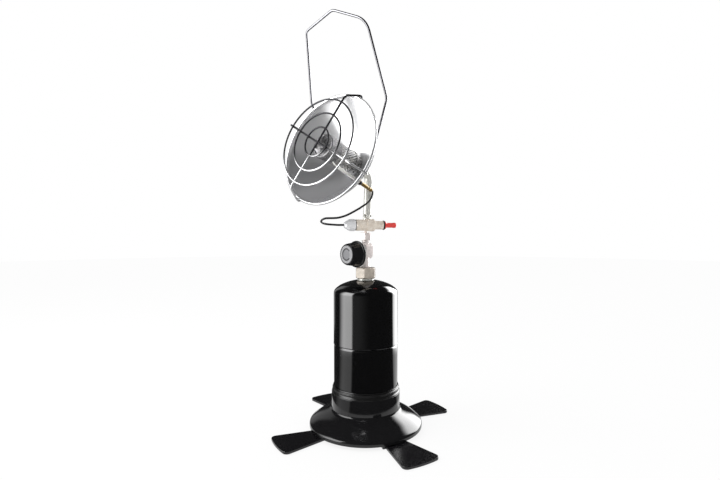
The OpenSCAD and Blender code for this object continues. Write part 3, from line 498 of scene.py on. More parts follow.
def makeDishSteel():
    # polish marks that run round: noise on (radius, height) alone; a painted reflection makes it
    # paler towards the top and darker in the lower half
    f = Finish("dishSteel", metallic=0.66)
    x, y, z = f.local(headFrame)
    radius = (x * x + y * y) ** 0.5
    place = f.node("ShaderNodeCombineXYZ", {}, {0: radius, 1: z, 2: 0.0})
    rings, cloud = f.noise(0.7, 3, 0.7, at=place), f.noise(14, 2)
    # painted reflection: paler with height, with some random tone from the cloud
    paintedReflection = f.ramp(y, -12, 22) * (0.85 + 0.15 * cloud)
    colour = f.blend(paintedReflection, (0.52, 0.52, 0.53), (0.97, 0.97, 0.98))
    return f.coat(colour, 0.14 + 0.16 * rings, rings, 0.006)


def makeGuardWire():
    # bright wire, darkened towards the top by a painted reflection of dark surroundings
    f = Finish("guardWire", metallic=0.8)
    cloud = f.noise(6, 3)
    # painted reflection: nearly black from just below the centre upwards, its edge broken by the
    # cloud
    paintedDarkTop = f.ramp(f.local(headFrame)[1] + 8 * cloud, -30, -8)
    colour = f.blend(paintedDarkTop, (0.75, 0.75, 0.76), (0.03, 0.03, 0.033))
    return f.coat(colour, 0.1 + 0.2 * paintedDarkTop * cloud, cloud, 0.004)


def makeBurner(name, dark, scale, metallic):
    # heat-darkened steel: straw and blue tints towards the flame, a dry scale, and painted shade
    # that turns the inner faces nearly black
    f = Finish(name, metallic=metallic)
    x, y, z = f.local(headFrame)
    radius = (x * x + y * y) ** 0.5
    soot, tint = f.noise(1.6, 4, 0.6), f.noise(9, 2)
    straw = f.blend(f.ramp(tint, 0.35, 0.65), dark, scale)
    hot = 0.7 * f.ramp(z, -40, 10) * f.ramp(tint, 0.4, 0.8)
    # painted shade: nearly black and duller on the inner faces, inside the screen and the cup's
    # bore behind the cup's front
    inside = (1 - f.ramp(radius, 16.2, 16.6)) * (1 - f.ramp(z, 9, 9.6))  # behind the cup's front
    colour = f.blend(inside, f.blend(hot, straw, (0.14, 0.14, 0.18)), (0.012, 0.012, 0.012))
    return f.coat(colour, 0.16 + 0.2 * soot + 0.4 * inside, soot, 0.01)


def makeCeramic():
    # glazed, with a few stained specks
    f = Finish("ceramic", IOR=1.5, Coat_Weight=0.6, Coat_Roughness=0.08)
    speck = f.ramp(f.noise(0.8, 3), 0.66, 0.74)
    colour = f.blend(speck, (0.86, 0.85, 0.81), (0.62, 0.58, 0.5))
    return f.coat(colour, 0.25 + 0.1 * f.noise(2, 2), f.noise(1.5, 2), 0.015)


def makeRed():
    # red plastic, unevenly faded
    f = Finish("redPlastic", IOR=1.47)
    colour = f.blend(f.noise(4, 2), (0.7, 0.045, 0.04), (0.82, 0.09, 0.075))
    return f.coat(colour, 0.2 + 0.14 * f.noise(0.7, 3), f.noise(0.5, 2), 0.01)


def makeDial(d):
    # a pale ring, a dark arc that is open on one side, and a grey disc, by radius and angle
    f = Finish("dialPlate", IOR=1.46)
    x, y = f.local(valveFrame)[:2]
    radius = (x * x + y * y) ** 0.5
    apart = f.math("ABSOLUTE", f.math("ARCTAN2", y, x))
    pastDisc = f.ramp(radius, d["disc"], d["disc"] + d["soft"])
    pastArc = f.ramp(radius, d["arcOut"], d["arcOut"] + d["soft"])
    dark = pastDisc * (1 - pastArc) * f.ramp(apart, d["gap"], d["gap"] + 0.08)
    base = f.blend(1 - pastDisc, (0.33, 0.33, 0.34), (0.2, 0.2, 0.21))
    cloud = f.noise(2.5, 3)
    return f.coat(f.blend(dark, base, (0.02, 0.02, 0.022)), 0.3 + 0.15 * cloud, cloud, 0.01)


dial = dict(disc=7.3, arcOut=9.4, gap=0.6, soft=0.3)
finishes = dict(
    stand=makePlastic("standPlastic", (0.006, 0.006, 0.0065), (0.009, 0.0088, 0.0095), 0.0, 0.002),
    leg=makePlastic("legPlastic", (0.0045, 0.0042, 0.005), (0.007, 0.0065, 0.008), 0.16, 0.012),
    knob=makePlastic("knobPlastic", (0.006, 0.006, 0.007), (0.010, 0.010, 0.011), 0.1, 0.01),
    rubber=makePlastic("rubber", (0.006, 0.006, 0.006), (0.010, 0.010, 0.010), 0.14, 0.01),
    jacket=makePlastic("leadJacket", (0.014, 0.014, 0.016), (0.028, 0.028, 0.03), 0.36, 0.015),
    enamel=makeEnamel(),
    zinc=makeMetal("zincPlate", 0.3, (0.86, 0.86, 0.81), (0.7, 0.7, 0.66), 0.2, stretch=(1, 1, 6)),
    brass=makeMetal("brass", 0.6, (0.23, 0.15, 0.035), (0.15, 0.1, 0.025), 0.22),
    cast=makeMetal("castNickel", 0.2, (0.9, 0.83, 0.81), (0.74, 0.68, 0.66), 0.26, 0.03, size=0.9),
    turned=makeMetal("turnedNickel", 0.12, (0.56, 0.5, 0.43), (0.44, 0.39, 0.33), 0.24,
                     stretch=(6, 6, 0.6)),
    tan=makeMetal("igniterPlate", 0.22, (0.95, 0.87, 0.77), (0.82, 0.72, 0.61), 0.24),
    dish=makeDishSteel(),
    guard=makeGuardWire(),
    chrome=makeMetal("chromeWire", 1.0, (0.26, 0.26, 0.28), (0.2, 0.2, 0.21), 0.08, 0.004),
    nut=makeMetal("chromeNut", 0.25, (0.97, 0.97, 0.98), (0.86, 0.86, 0.88), 0.12, 0.004),
    screen=makeBurner("screenSteel", (0.3, 0.3, 0.3), (0.44, 0.43, 0.4), 0.6),
    burner=makeBurner("burnerSteel", (0.17, 0.17, 0.175), (0.3, 0.29, 0.28), 0.5),
    ceramic=makeCeramic(),
    red=makeRed(),
    dial=makeDial(dial),
)
print("finishes made:", len(finishes))

# Ignition lead: the route's points, in millimetres, from the ferrule to the igniter's nut
lead = dict(
    radius=1.5, length=0.155, ferruleEnd=97.03, nutTip=-40.09,
    middle=[[10.5, 2.4, 362.6], [10.5, 3.3, 361.5], [10.5, 3.7, 360.1], [10.5, 3.4, 358.6],
            [10.5, 2.7, 356.3], [10.4, 1.3, 353.3], [10.2, -0.4, 350.4], [9.9, -2.6, 347.7],
            [9.5, -5.3, 345.3], [9, -8.7, 343], [8, -12.6, 340.7], [6.6, -17.4, 337.9],
            [4.8, -23, 334.5], [2.2, -29.5, 330.9], [-0.6, -36, 327.3], [-3.4, -42.5, 324.1],
            [-6.2, -49, 321.8], [-9, -55.5, 320.2], [-12, -61.8, 319.6], [-15, -67.4, 319.4],
            [-18.4, -71.8, 319], [-22.4, -74, 317.3], [-26, -72.8, 315], [-27.8, -69, 313.2],
            [-27.8, -64.4, 311.8], [-26, -59.8, 311], [-23.2, -55.2, 310.6]],
)


def makeLead(c):
    # it leaves the ferrule straight, and its last 10 mm run straight into the nut's tip
    start = toPart([(0, 0, -c["ferruleEnd"]), (0, 0, -c["ferruleEnd"] - 0.97)], electrodeFrame)
    end = toPart([(0, 0, c["nutTip"] - 10), (0, 0, c["nutTip"] - 4.5), (0, 0, c["nutTip"])],
                 igniterFrame)
    route = spline(np.concatenate([start, c["middle"], end]), 5)
    print("lead's length:", round(distances(route)[-1] * mm, 4))
    jacket = tube(route, c["radius"], 14, (0.25, 0.1, 1), endRound=0.1)
    piece = addPiece("ignitionLead", [jacket], upright, "head", "jacket", "ignition_lead")


makeLead(lead)
print("camera and lead made")

# Stand
stand = dict(
    seat=49.9, collar=52.5, top=55.9, floor=20, floorUnder=17.5, corner=29, skirt=86.4, wall=2.5,
    rimLow=4.9, bandTop=9.7, pivot=68, boss=7, bossLow=4.5, legTurn=-22, legHalf=11.8,
    padAt=130.5, pad=8, padHigh=1.6,
)


def makeStand(c):
    # the cup that holds the cylinder, the flared skirt down to its band, and back up inside
    collar, corner, skirt, band = c["collar"], c["corner"], c["skirt"], c["bandTop"]
    inside = skirt - c["wall"]
    middle, slope = (collar + skirt) / 2, (corner + c["rimLow"]) / 2
    outline = [(0, c["floor"]), (c["seat"], c["floor"]), (c["seat"], c["top"]), (collar, c["top"]),
               (collar, corner + 2), (collar + 1.5, corner), (middle + 2, slope + 4),
               (skirt - 2.2, band + 2.4), (skirt - 0.6, band + 0.9), (skirt, band - 0.8),
               (skirt, c["rimLow"]), (inside, c["rimLow"]), (inside, band - 1),
               (inside - 1.4, band), (middle + 1, slope + 1), (collar + 1, corner - 3),
               (collar, corner - 4.5), (collar, c["floorUnder"]), (0, c["floorUnder"])]
    cuts = [0, 2, 0.9, 0.9, 1.6, 3, 11, 3, 1.4, 1, 0.5, 0.5, 1, 1, 9, 1, 1, 1, 0]
    parts = [turnedPart(outline, cuts, 192, 5)]
    boss, low, out = c["boss"], c["bossLow"], skirt - 8
    stop = softened([(out, -4.8), (out + 7.4, -4.8), (out + 7.4, -0.3), (out, -0.3)], 0.8, True, 3)
    stop = plate(stop, 1.2, 8.6, 0.5)
    for k in range(4):
        turn = math.radians(c["legTurn"] + 90 * k)
        # a boss rises to the middle of the skirt's wall above each point of it
        rows = turnedRows([(0, low), (boss - 0.5, low), (boss, low + 0.5), (boss, 0), (0, 0)], 48)
        rows[..., 0] += c["pivot"]
        far = np.hypot(rows[-2:, :, 0], rows[-2:, :, 1])
        rows[-2:, :, 2] = np.interp(far, [collar + 1, middle + 1.5, skirt - 3],
                                    [corner - 2, slope + 2.5, band + 1])
        parts.append(placed(quads(rows), turned(upright, (0, 0, 0), 2, turn)))
        beside = turn - math.radians(c["legHalf"])
        parts.append(placed(stop, turned(upright, (0, 0, 0), 2, beside)))
    addPiece("standShell", parts, upright, "stand", "stand", "base_shell")


def makeGrip(c):
    # a soft ring with a lip, a waist and a bulge, and fine ribs round the bulge
    inner, low = 49.45, c["top"] + 0.03
    bulge = arc((48.7, 61.9), 2.5, -40, 60, 28)
    bulge[:, 0] += 0.12 * np.cos(bulge[:, 1] * 2 * np.pi / 1.1)
    outline = np.concatenate([[(inner, low), (52.3, low), (52.4, low + 0.6), (52.2, low + 1.2),
                               (51.2, low + 1.9), (50.7, low + 2.9)], bulge,
                              [(50.4, 64.9), (50.2, 65.6), (49.9, 65.9), (inner, 65.8)]])
    addPiece("gripRing", [lathe(outline, 192)], upright, "stand", "rubber", "grip_ring")


def makeLegs(c):
    # each leg keeps its node's shape, and its pad has two shallow grooves underneath
    pad, high = c["pad"], c["padHigh"]
    outline = [(0, 0.35), (3.4, 0.35), (3.7, 0), (5.3, 0), (5.6, 0.35), (6.1, 0.35), (6.4, 0),
               (pad - 0.3, 0), (pad, 0.4), (pad, high), (0, high)]
    for k, side in enumerate(["right", "back", "left", "front"]):
        a = math.radians(c["legTurn"] + 90 * k)
        at = turned(upright, around(c["padAt"], a, 0), 2, a)
        addPiece("footPad_" + side, [turnedPart(outline, 0.12, 48, 2)], at, "leg_" + side,
                 "rubber", "foot_pad_" + side)
        finishedCopy("leg_" + side, "leg_" + side, "leg", 0.7)


makeStand(stand)
makeGrip(stand)
makeLegs(stand)
finishedCopy("leg_pins", "stand", "zinc", 0.3)
print("stand made")

# Fuel cylinder
cylinder = dict(
    radius=49.3, lowRadius=48.9, foot=20.03, seam=128.53, shoulder=206.03, dome=20.3, wall=1.2,
    ring=39, hollow=26, rise=5, corner=7, neck=12.7, neckTop=239.03, seat=235.03,
    pitch=1.27, threadDepth=0.6,
    curve=[(1, 0), (0.992, 0.13), (0.972, 0.24), (0.938, 0.34), (0.88, 0.46), (0.77, 0.63),
           (0.6, 0.8), (0.44, 0.91), (0.33, 0.97)],
)
cylinder["top"] = cylinder["shoulder"] + cylinder["dome"]


def makeLowerShell(c):
    # a foot ring round a raised middle, a straight wall, and a step in under the upper shell
    foot, wall, corner, ring = c["foot"], c["wall"], c["corner"], c["ring"]
    seam, low, hollow, raised = c["seam"], c["lowRadius"], c["hollow"], c["foot"] + c["rise"]
    lap = c["radius"] - wall - 0.05
    bend = (low - corner, foot + corner)
    under = softened([(0, raised), (hollow, raised - 1.6), (ring - 3, foot + 0.8), (ring, foot),
                      (low - corner, foot)], [0, 5, 2, 2, 0])
    step = spline([(low, seam - 4), (low, seam - 3), (low - 0.35, seam - 1.4), (lap, seam - 0.6)])
    outline = np.concatenate([
        under, arc(bend, corner, -90, 0, 12)[1:], step,
        [(lap, seam + 7), (c["radius"] - 2 * wall, seam + 7), (low - wall - 0.8, seam - 4)],
        arc(bend, corner - wall, 0, -90, 8),
        [(ring, foot + wall), (ring - 2.6, foot + wall + 0.8), (hollow, raised + wall - 1.6),
         (0, raised + wall)]])
    addPiece("cylinderLower", [lathe(outline, 192)], upright, "cylinder", "enamel",
             "cylinder_lower")


def makeUpperShell(c):
    # the lip at the girth seam swells a little before the straight wall
    radius, seam, wall, shoulder = c["radius"], c["seam"], c["wall"], c["shoulder"]
    across, rise = np.array(c["curve"]).T
    outer = spline(np.stack([across * radius, shoulder + rise * c["dome"]], 1), 5)
    inner = np.stack([across * (radius - wall), shoulder + rise * c["dome"] - wall], 1)[::-1]
    lip = spline([(radius - 0.5, seam - 0.1), (radius + 0.12, seam + 0.5),
                  (radius + 0.3, seam + 1.5), (radius + 0.12, seam + 2.7), (radius, seam + 4)])
    hole = c["neck"] + 0.05
    outline = np.concatenate([[(radius - wall, seam)], lip, outer, [(hole, c["top"]),
                              (hole, c["top"] - wall)], inner])
    addPiece("cylinderUpper", [lathe(outline, 192)], upright, "cylinder", "enamel",
             "cylinder_upper")


def makeNeck(c):
    # a threaded boss with a flange inside the dome and a seat for the nut's seal
    neck, top, high, bore = c["neck"], c["top"], c["neckTop"], 4.03
    wall = dense([(neck, top - 1.8), (neck, high - 0.8)], c["pitch"] / 8)
    outline = np.concatenate([[(bore, top - 5), (neck + 3.5, top - 5), (neck + 3.5, top - 2.8)],
                              wall, [(neck - 0.8, high), (7, high), (7, c["seat"]),
                                     (bore, c["seat"])]])
    rows = threadRows(turnedRows(outline, 96), top + 0.6, high - 0.9, c["pitch"],
                      c["threadDepth"], neck - 0.5)
    addPiece("cylinderNeck", [quads(rows, True)], upright, "cylinder", "zinc", "neck_boss",
             sharp=60)


def coil(radius, wire, low, high, turns):
    # a helix: (r cos a, r sin a, z) with z rising in step with a
    a = np.linspace(0, 2 * np.pi * turns, int(turns * 20) + 1)
    path = around(radius, a, np.linspace(low + wire, high - wire, len(a)))
    return tube(path, wire, 8, (0, 0, 1), endRound=0.2)


makeLowerShell(cylinder)
makeUpperShell(cylinder)
makeNeck(cylinder)
for node in ("core_body", "core_pin"):
    finishedCopy(node, "cylinder", "brass", 0.15)
addPiece("coreSpring", [coil(1.75, 0.3, 224.98, 230.93, 6)], upright, "cylinder", "zinc",
         "core_spring")
relief = dict(out=24, angle=math.radians(105),
              outline=[(0, -1.2), (4.4, -1.2), (4.4, 1.6), (5.4, 1.6), (5.4, 4), (2, 4), (1.7, 3.2),
                       (0, 3.2)])
reliefFrame = turned(upright, around(relief["out"], relief["angle"], cylinder["top"]), 2, 0)
addPiece("reliefValve", [turnedPart(relief["outline"], 0.4, 64)], reliefFrame, "cylinder",
         "enamel", "relief_valve")
print("cylinder made")

# Valve
knob = dict(back=17, length=22.5, flange=20.3, face=14.6, dial=13.2)
nut = dict(low=228.43, high=245.03, flats=28.6, bore=12.78, socket=239.33, chamfer=2, neck=5.28)


def hexOutline(low, high, flats, chamfer, bore):
    # the turned blank of a nut: chamfered ends, and a bore where it has one
    inner, outer = flats / 2 - chamfer / 3, flats / math.sqrt(3)
    return [(bore, low), (inner, low), (outer, low + chamfer), (outer, high - chamfer),
            (inner, high), (bore, high)]


def hexNut(low, high, flats, chamfer, bore):
    return hexBar(hexOutline(low, high, flats, chamfer, bore), flats)


def makeInletNut(c):
    # a nut whose bore narrows to the valve's column above its socket
    high, bore, socket = c["high"], c["bore"], c["socket"]
    outline = hexOutline(c["low"], high, c["flats"], c["chamfer"], bore)[:-1]
    outline = np.array(outline + [(c["neck"], high), (c["neck"], socket), (bore, socket)])
    addPiece("inletNut", [hexBar(outline, c["flats"])], upright, "head", "turned",
             "inlet_nut", sharp=30)


def makeValveBody():
    # a column with a flange and a bead, a block with round sides, and the knob's gland
    column = [(0, 239.38), (5.25, 239.38), (5.25, 245.2), (7.25, 245.2), (7.25, 246.7),
              (5.25, 247.4), (5.25, 283.4), (5.9, 283.8), (5.9, 285.2), (5.25, 285.6),
              (5.25, 291.18), (0, 291.18)]
    half = 8
    sides = np.concatenate([arc((0, 9), half, 0, 180, 20), arc((0, 0.5), half, 180, 360, 20)])
    gland = turnedPart([(0, 0), (7, 0), (7, 8), (0, 8)], 0.6, 64)
    parts = [turnedPart(column, 0.5, 72), placed(plate(sides, -9, 6, 1.3, 5), valveFrame),
             placed(gland, valveFrame)]
    addPiece("valveBody", parts, upright, "head", "cast", "valve_body")


def makeKnob(c):
    # the grip's radius is drawn in by shallow flutes between the flange and the face
    back, face, flange, rim = c["back"], c["back"] + c["length"], c["flange"], c["face"]
    plateLow = face - 0.83
    screwSeat = face - 5
    outline = [(11, back), (flange - 0.8, back), (flange, back + 1), (flange, back + 3),
               (flange - 0.7, back + 4), (flange - 2.2, back + 4.6), (flange - 3, back + 12),
               (rim + 1.6, face - 3), (rim + 0.6, face - 0.8), (rim - 0.4, face),
               (c["dial"] + 0.03, face), (c["dial"] + 0.03, plateLow), (3.9, plateLow),
               (3.9, screwSeat), (1.7, screwSeat), (1.7, face - 6.97), (3.03, face - 6.97),
               (3.03, back + 4.5), (7, back + 4.5), (7, back + 10), (11, back + 9)]
    cuts = [0.4, 0.5, 0.6, 0.6, 0.5, 1, 2, 1.2, 0.7, 0.5, 0.2] + 10 * [0]
    rows = turnedRows(dense(softened(outline, cuts, True, 4), 0.9), 192)
    r, a = polar(rows)
    z = rows[..., 2]
    along = np.clip((z - back - 6) / 3, 0, 1) * np.clip((face - 3 - z) / 4, 0, 1) * (r > rim - 0.6)
    flute = 0.45 * along * (0.5 + 0.5 * np.cos(16 * a)) ** 2
    rows = scaledRadius(rows, 1 - flute / np.maximum(r, 1))
    addPiece("valveKnob", [quads(rows, True)], valveFrame, "knob", "knob", "valve_knob", sharp=50)
    rim, arcOut, disc, groove = c["dial"], dial["arcOut"], dial["disc"], face - 0.25
    high = face - 0.02
    outline = [(0, face - 0.8), (rim - 0.1, face - 0.8), (rim, face - 0.3), (rim - 0.3, high),
               (arcOut + 0.2, high), (arcOut, groove), (disc + 0.3, groove), (disc, high),
               (0, high)]
    addPiece("knobDial", [turnedPart(outline, 0.1, 96, 2)], valveFrame, "knob", "dial", "knob_dial")


makeInletNut(nut)
makeValveBody()
makeKnob(knob)
addPiece("packingNut", [hexNut(8.03, 16, 13, 0.8, 3.05)], valveFrame, "head", "turned",
         "packing_nut", sharp=30)
jet = [(0, 291.3), (5.3, 291.3), (5.3, 298.4), (2.4, 298.4), (2.4, 304.5), (0, 304.5)]
addPiece("jetNut", [hexNut(287.03, 298.73, 15, 1.2, 5.28), turnedPart(jet, 0.3, 48, 2)], upright,
         "head", "cast", "jet_nut", sharp=30)
for node, body, finish in [("inlet_seal", "seal", "rubber"), ("depressor_pin", "head", "brass"),
                           ("valve_stem", "knob", "zinc"), ("stem_seal", "head", "rubber"),
                           ("knob_screw", "knob", "zinc"), ("orifice_jet", "head", "brass")]:
    finishedCopy(node, body, finish, 0.15)
print("valve made")


# Burner pipe
def pipeLine(end):
    # up from the foot, round an arc that meets both straight runs, and on into the dish
    lean, tilt = pipe["lean"], head["tilt"]
    foot = np.array([-pipe["back"], pipe["foot"]])
    rim = np.array([head["reach"], head["rimHeight"]])
    up = np.array([-math.sin(lean), math.cos(lean)])
    out = np.array([math.cos(tilt), math.sin(tilt)])

    def cross(p, q):
        return p[0] * q[1] - p[1] * q[0]

    meet = cross(rim - foot, out) / cross(up, out)
    start = meet - pipe["bend"] * math.tan((math.pi / 2 + lean - tilt) / 2)
    centre = foot + start * up + pipe["bend"] * np.array([math.cos(lean), math.sin(lean)])
    curve = arc(centre, pipe["bend"], 180 + math.degrees(lean), 90 + math.degrees(tilt), 24)
    flat = np.concatenate([[foot], curve, [rim - end * out]])
    return np.stack([0 * flat[:, 0], -flat[:, 0], flat[:, 1]], 1)


def makePipe(c, end=50):
    # two plain runs of tube, and between them a band with four round air inlets
    line = dense(pipeLine(end), 1.0)
    along = distances(line)
    way = unit(np.gradient(line, axis=0))

    def put(s, a, r):
        # centre(s) + r (cos a * x + sin a * the cross product of the way and x)
        centre = np.stack([np.interp(s, along, line[:, k]) for k in range(3)], -1)
        ahead = unit(np.stack([np.interp(s, along, way[:, k]) for k in range(3)], -1))
        side = np.broadcast_to((1.0, 0.0, 0.0), ahead.shape)
        up = np.cross(ahead, side)
        return centre + r * (np.cos(a)[..., None] * side + np.sin(a)[..., None] * up)

    spokes, cell = 32, 9.0
    low = c["inletRise"] - cell / 2
    band = perforated(4, 1, cell, c["radius"], c["inlet"], spokes, put, low, c["inletTurn"])
    a = np.radians(c["inletTurn"]) + 2 * np.pi * np.arange(spokes) / spokes

    def run(s):
        s2, a2 = np.meshgrid(s, a, indexing="ij")
        points, faces = quads(put(s2, a2, c["radius"]))
        return points, faces[:-2]

    upper = np.concatenate([[low + cell], along[along > low + cell + 0.5]])
    parts = [run(np.array([0, 1.5, low])), band, run(upper)]
    piece = addPiece("burnerPipe", parts, upright, "head", "zinc", "burner_pipe", sharp=60)
    thicken(piece, c["wall"])
    foot = turnedPart([(0, 0), (6.05, 0), (6.33, 0.3), (6.33, 3.8), (0, 3.8)], 0.2, 48, 2)
    addPiece("pipeFoot", [foot], pipeFrame, "head", "zinc")


makePipe(pipe)
print("pipe made")

# Dish
dish = dict(radius=80.2, depth=60, flat=18, wall=1, bead=1.8, hole=6.38)


def dishDepth(r):
    return dish["depth"] * (1 - (np.maximum(r, dish["flat"]) / dish["radius"]) ** 2)


def makeDish(c):
    # z = -depth (1 - (r / radius)^2), closed by a rim rolled round a circle of radius bead
    r = np.linspace(c["flat"] + 0.8, c["radius"] - 1.3, 44)
    inner = np.stack([r, -dishDepth(r)], 1)
    outer = np.stack([r + 0.7 * c["wall"], -dishDepth(r) - 0.7 * c["wall"]], 1)[::-1]
    roll = arc((c["radius"], 0), c["bead"], 226, -112, 30)
    flat = -dishDepth(0)
    start = softened([(c["hole"], flat), (c["flat"] - 1, flat), (r[0], inner[0, 1])], [0, 1, 0])
    back = softened([(outer[-1, 0], outer[-1, 1]), (c["flat"] - 1, flat - c["wall"]),
                     (c["hole"], flat - c["wall"])], [0, 1, 0])
    outline = np.concatenate([start, inner[1:], roll, outer[:-1], back])
    addPiece("dish", [lathe(outline, 224)], headFrame, "head", "dish", "reflector", sharp=42)


makeDish(dish)
behind = -float(dishDepth(0)) - dish["wall"] - 1.26
addPiece("tubeNut", [hexNut(behind - 6, behind, 17, 1, dish["hole"])], headFrame, "head",
         "turned", "tube_nut", sharp=30)
for node in ("bail_bracket", "bracket_screws"):
    finishedCopy(node, "head", "zinc", 0.3)
print("dish made")

# Burner
burner = dict(
    cup=18, front=12, back=-10, socket=16.93, seat=-5.95, bore=15.9, floor=9.2, blades=8,
    bladeIn=2.8, bladeOut=15.4, bladeDeep=2.6, swirl=0.91, climb=0.82,
    screen=16.9, screenLow=-48.45, screenHigh=-6, columns=26, rows=14, hole=1.15, wall=0.8,
)


def makeCup(c):
    # the front is z = front - deep * envelope(r) * saw(blades a / 2 pi + swirl * share), where
    # share runs from 0 at the blades' inner ends to 1 at their outer ends
    cup, front, back, socket = c["cup"], c["front"], c["back"], c["socket"]
    r = np.linspace(c["bladeIn"], c["bladeOut"], 26)
    boss = softened([(0, front + 0.6), (1.6, front + 0.6), (2.3, front)], 0.5, steps=3)
    wall = softened([(16, front), (17.4, front - 0.5), (cup, front - 2), (cup, back),
                     (socket, back)], [0, 0.7, 0.7, 0.4, 0])
    inner = [(socket, c["seat"]), (c["bore"], c["seat"]), (c["bore"], c["floor"]), (0, c["floor"])]
    rows = turnedRows(np.concatenate([boss, np.stack([r, 0 * r + front], 1), wall, inner]), 384)
    radius, a = polar(rows)
    share = np.clip((radius - c["bladeIn"]) / (c["bladeOut"] - c["bladeIn"]), 0, 1)
    phase = (c["blades"] * a / (2 * np.pi) + c["swirl"] * share) % 1
    saw = np.where(phase < c["climb"], phase / c["climb"], (1 - phase) / (1 - c["climb"]))
    envelope = np.clip(share / 0.12, 0, 1) * np.clip((1 - share) / 0.1, 0, 1)
    onFront = (rows[..., 2] > front - 0.01) * (radius < c["bladeOut"])
    rows[..., 2] -= c["bladeDeep"] * envelope * saw * onFront
    addPiece("burnerCup", [quads(rows)], headFrame, "head", "burner", "burner_cup", sharp=34)


def makeScreen(c):
    # rows of round holes, each row half a cell round from the last
    def put(s, a, r):
        return around(r, a, s)

    cell = (c["screenHigh"] - c["screenLow"]) / c["rows"]
    part = perforated(c["columns"], c["rows"], cell, c["screen"], c["hole"], 16, put,
                      c["screenLow"], stagger=0.5)
    piece = addPiece("burnerScreen", [part], headFrame, "head", "screen", "burner_screen")
    thicken(piece, c["wall"])


makeCup(burner)
makeScreen(burner)
finishedCopy("burner_holder", "head", "burner", 0.2)
print("burner made")

# Guard
guard = dict(
    ring=1.2, spoke=1.4, rings=dict(outer=61.7, middle=41.5, inner=21), out=22.5, corner=72,
    turn=60, sink=0.9, hook=83.9, hookBack=4.2, hookIn=4,
)


def makeGuard(c):
    # three rings, each with a weld at every crossing, and two wires that hook behind the rim
    height = c["out"] + c["spoke"] + c["ring"] - c["sink"]
    a = np.linspace(0, 2 * np.pi, 180, endpoint=False)
    crossings = np.radians(c["turn"] + 90 * np.arange(4))
    for name, radius in c["rings"].items():
        welds = [bead(around(radius, b, height - 1.1), 1.75, 0.75) for b in crossings]
        ring = tube(around(radius, a, height), c["ring"], 14, (0, 0, 1), True)
        addPiece("guardRing_" + name, [ring] + welds, headFrame, "head", "guard",
                 "guard_ring_" + name)
    for name, more, sink in [("a", 0, 0), ("b", 90, c["sink"])]:
        out = c["out"] - sink
        half = [(c["corner"], out), (c["hook"], 0.5), (c["hook"] + 0.3, -c["hookBack"]),
                (c["hook"] - c["hookIn"], -c["hookBack"] - 1.2)]
        flat = np.array([(-x, z) for x, z in half[::-1]] + half)
        path = softened(np.stack([flat[:, 0], 0 * flat[:, 0], flat[:, 1]], 1), 5, steps=8)
        at = turned(headFrame, (0, 0, 0), 2, math.radians(c["turn"] + more))
        addPiece("guardWire_" + name, [tube(path, c["spoke"], 16, (0, 1, 0))], at, "head", "guard",
                 "guard_wire_" + name)


makeGuard(guard)
print("guard made")

# Electrode
def makeElectrode(c):
    # a rod in an insulator, a collar behind the dish, and a ferrule crimped at two places
    back = -float(dishDepth(math.hypot(c["side"], c["drop"]))) - 4.4
    low, high, bore, end = back - 9.8, back - 10, 0.95, -97
    rod = softened([(0, 0, -94), (0, 0, -6), (-2, 3.2, -4.4)], [0, 1.6, 0])
    sleeve = [(bore, back + 0.2), (2.6, back + 0.2), (2.6, -15.2), (2.3, -14), (bore, -14)]
    collar = [(bore, low), (3.6, low), (4.2, back - 8.6), (4.2, back), (bore, back)]
    z = np.linspace(end, high, 60)
    crimp = 0.45 * (np.exp(-((z + 92) / 1.1) ** 2) + np.exp(-((z + 87) / 1.1) ** 2))
    side = np.stack([2.9 - crimp, z], 1)[1:-1]
    ferrule = np.concatenate([[(0, end), (2.6, end)], side, [(2.6, high), (0, high)]])
    for name, part, finish, node in [
            ("electrodeRod", tube(rod, 0.9, 16, (0, 1, 0.2)), "zinc", "electrode_rod"),
            ("electrodeInsulator", turnedPart(sleeve, 0.5, 40), "ceramic", "electrode_insulator"),
            ("electrodeCollar", turnedPart(collar, 0.5, 40), "knob", "electrode_collar"),
            ("electrodeFerrule", lathe(ferrule, 40), "brass", "electrode_ferrule")]:
        addPiece(name, [part], electrodeFrame, "head", finish, node)


makeElectrode(electrode)

# Igniter
spark = dict(
    back=22, front=21, barrel=8.5, slim=6.5, bore=5, floor=-18, shoulder=7.4, groove=0.35,
    nutLong=17, nutFlats=16, bezelEnd=26.36, buttonIn=13, buttonEnd=42.16,
)


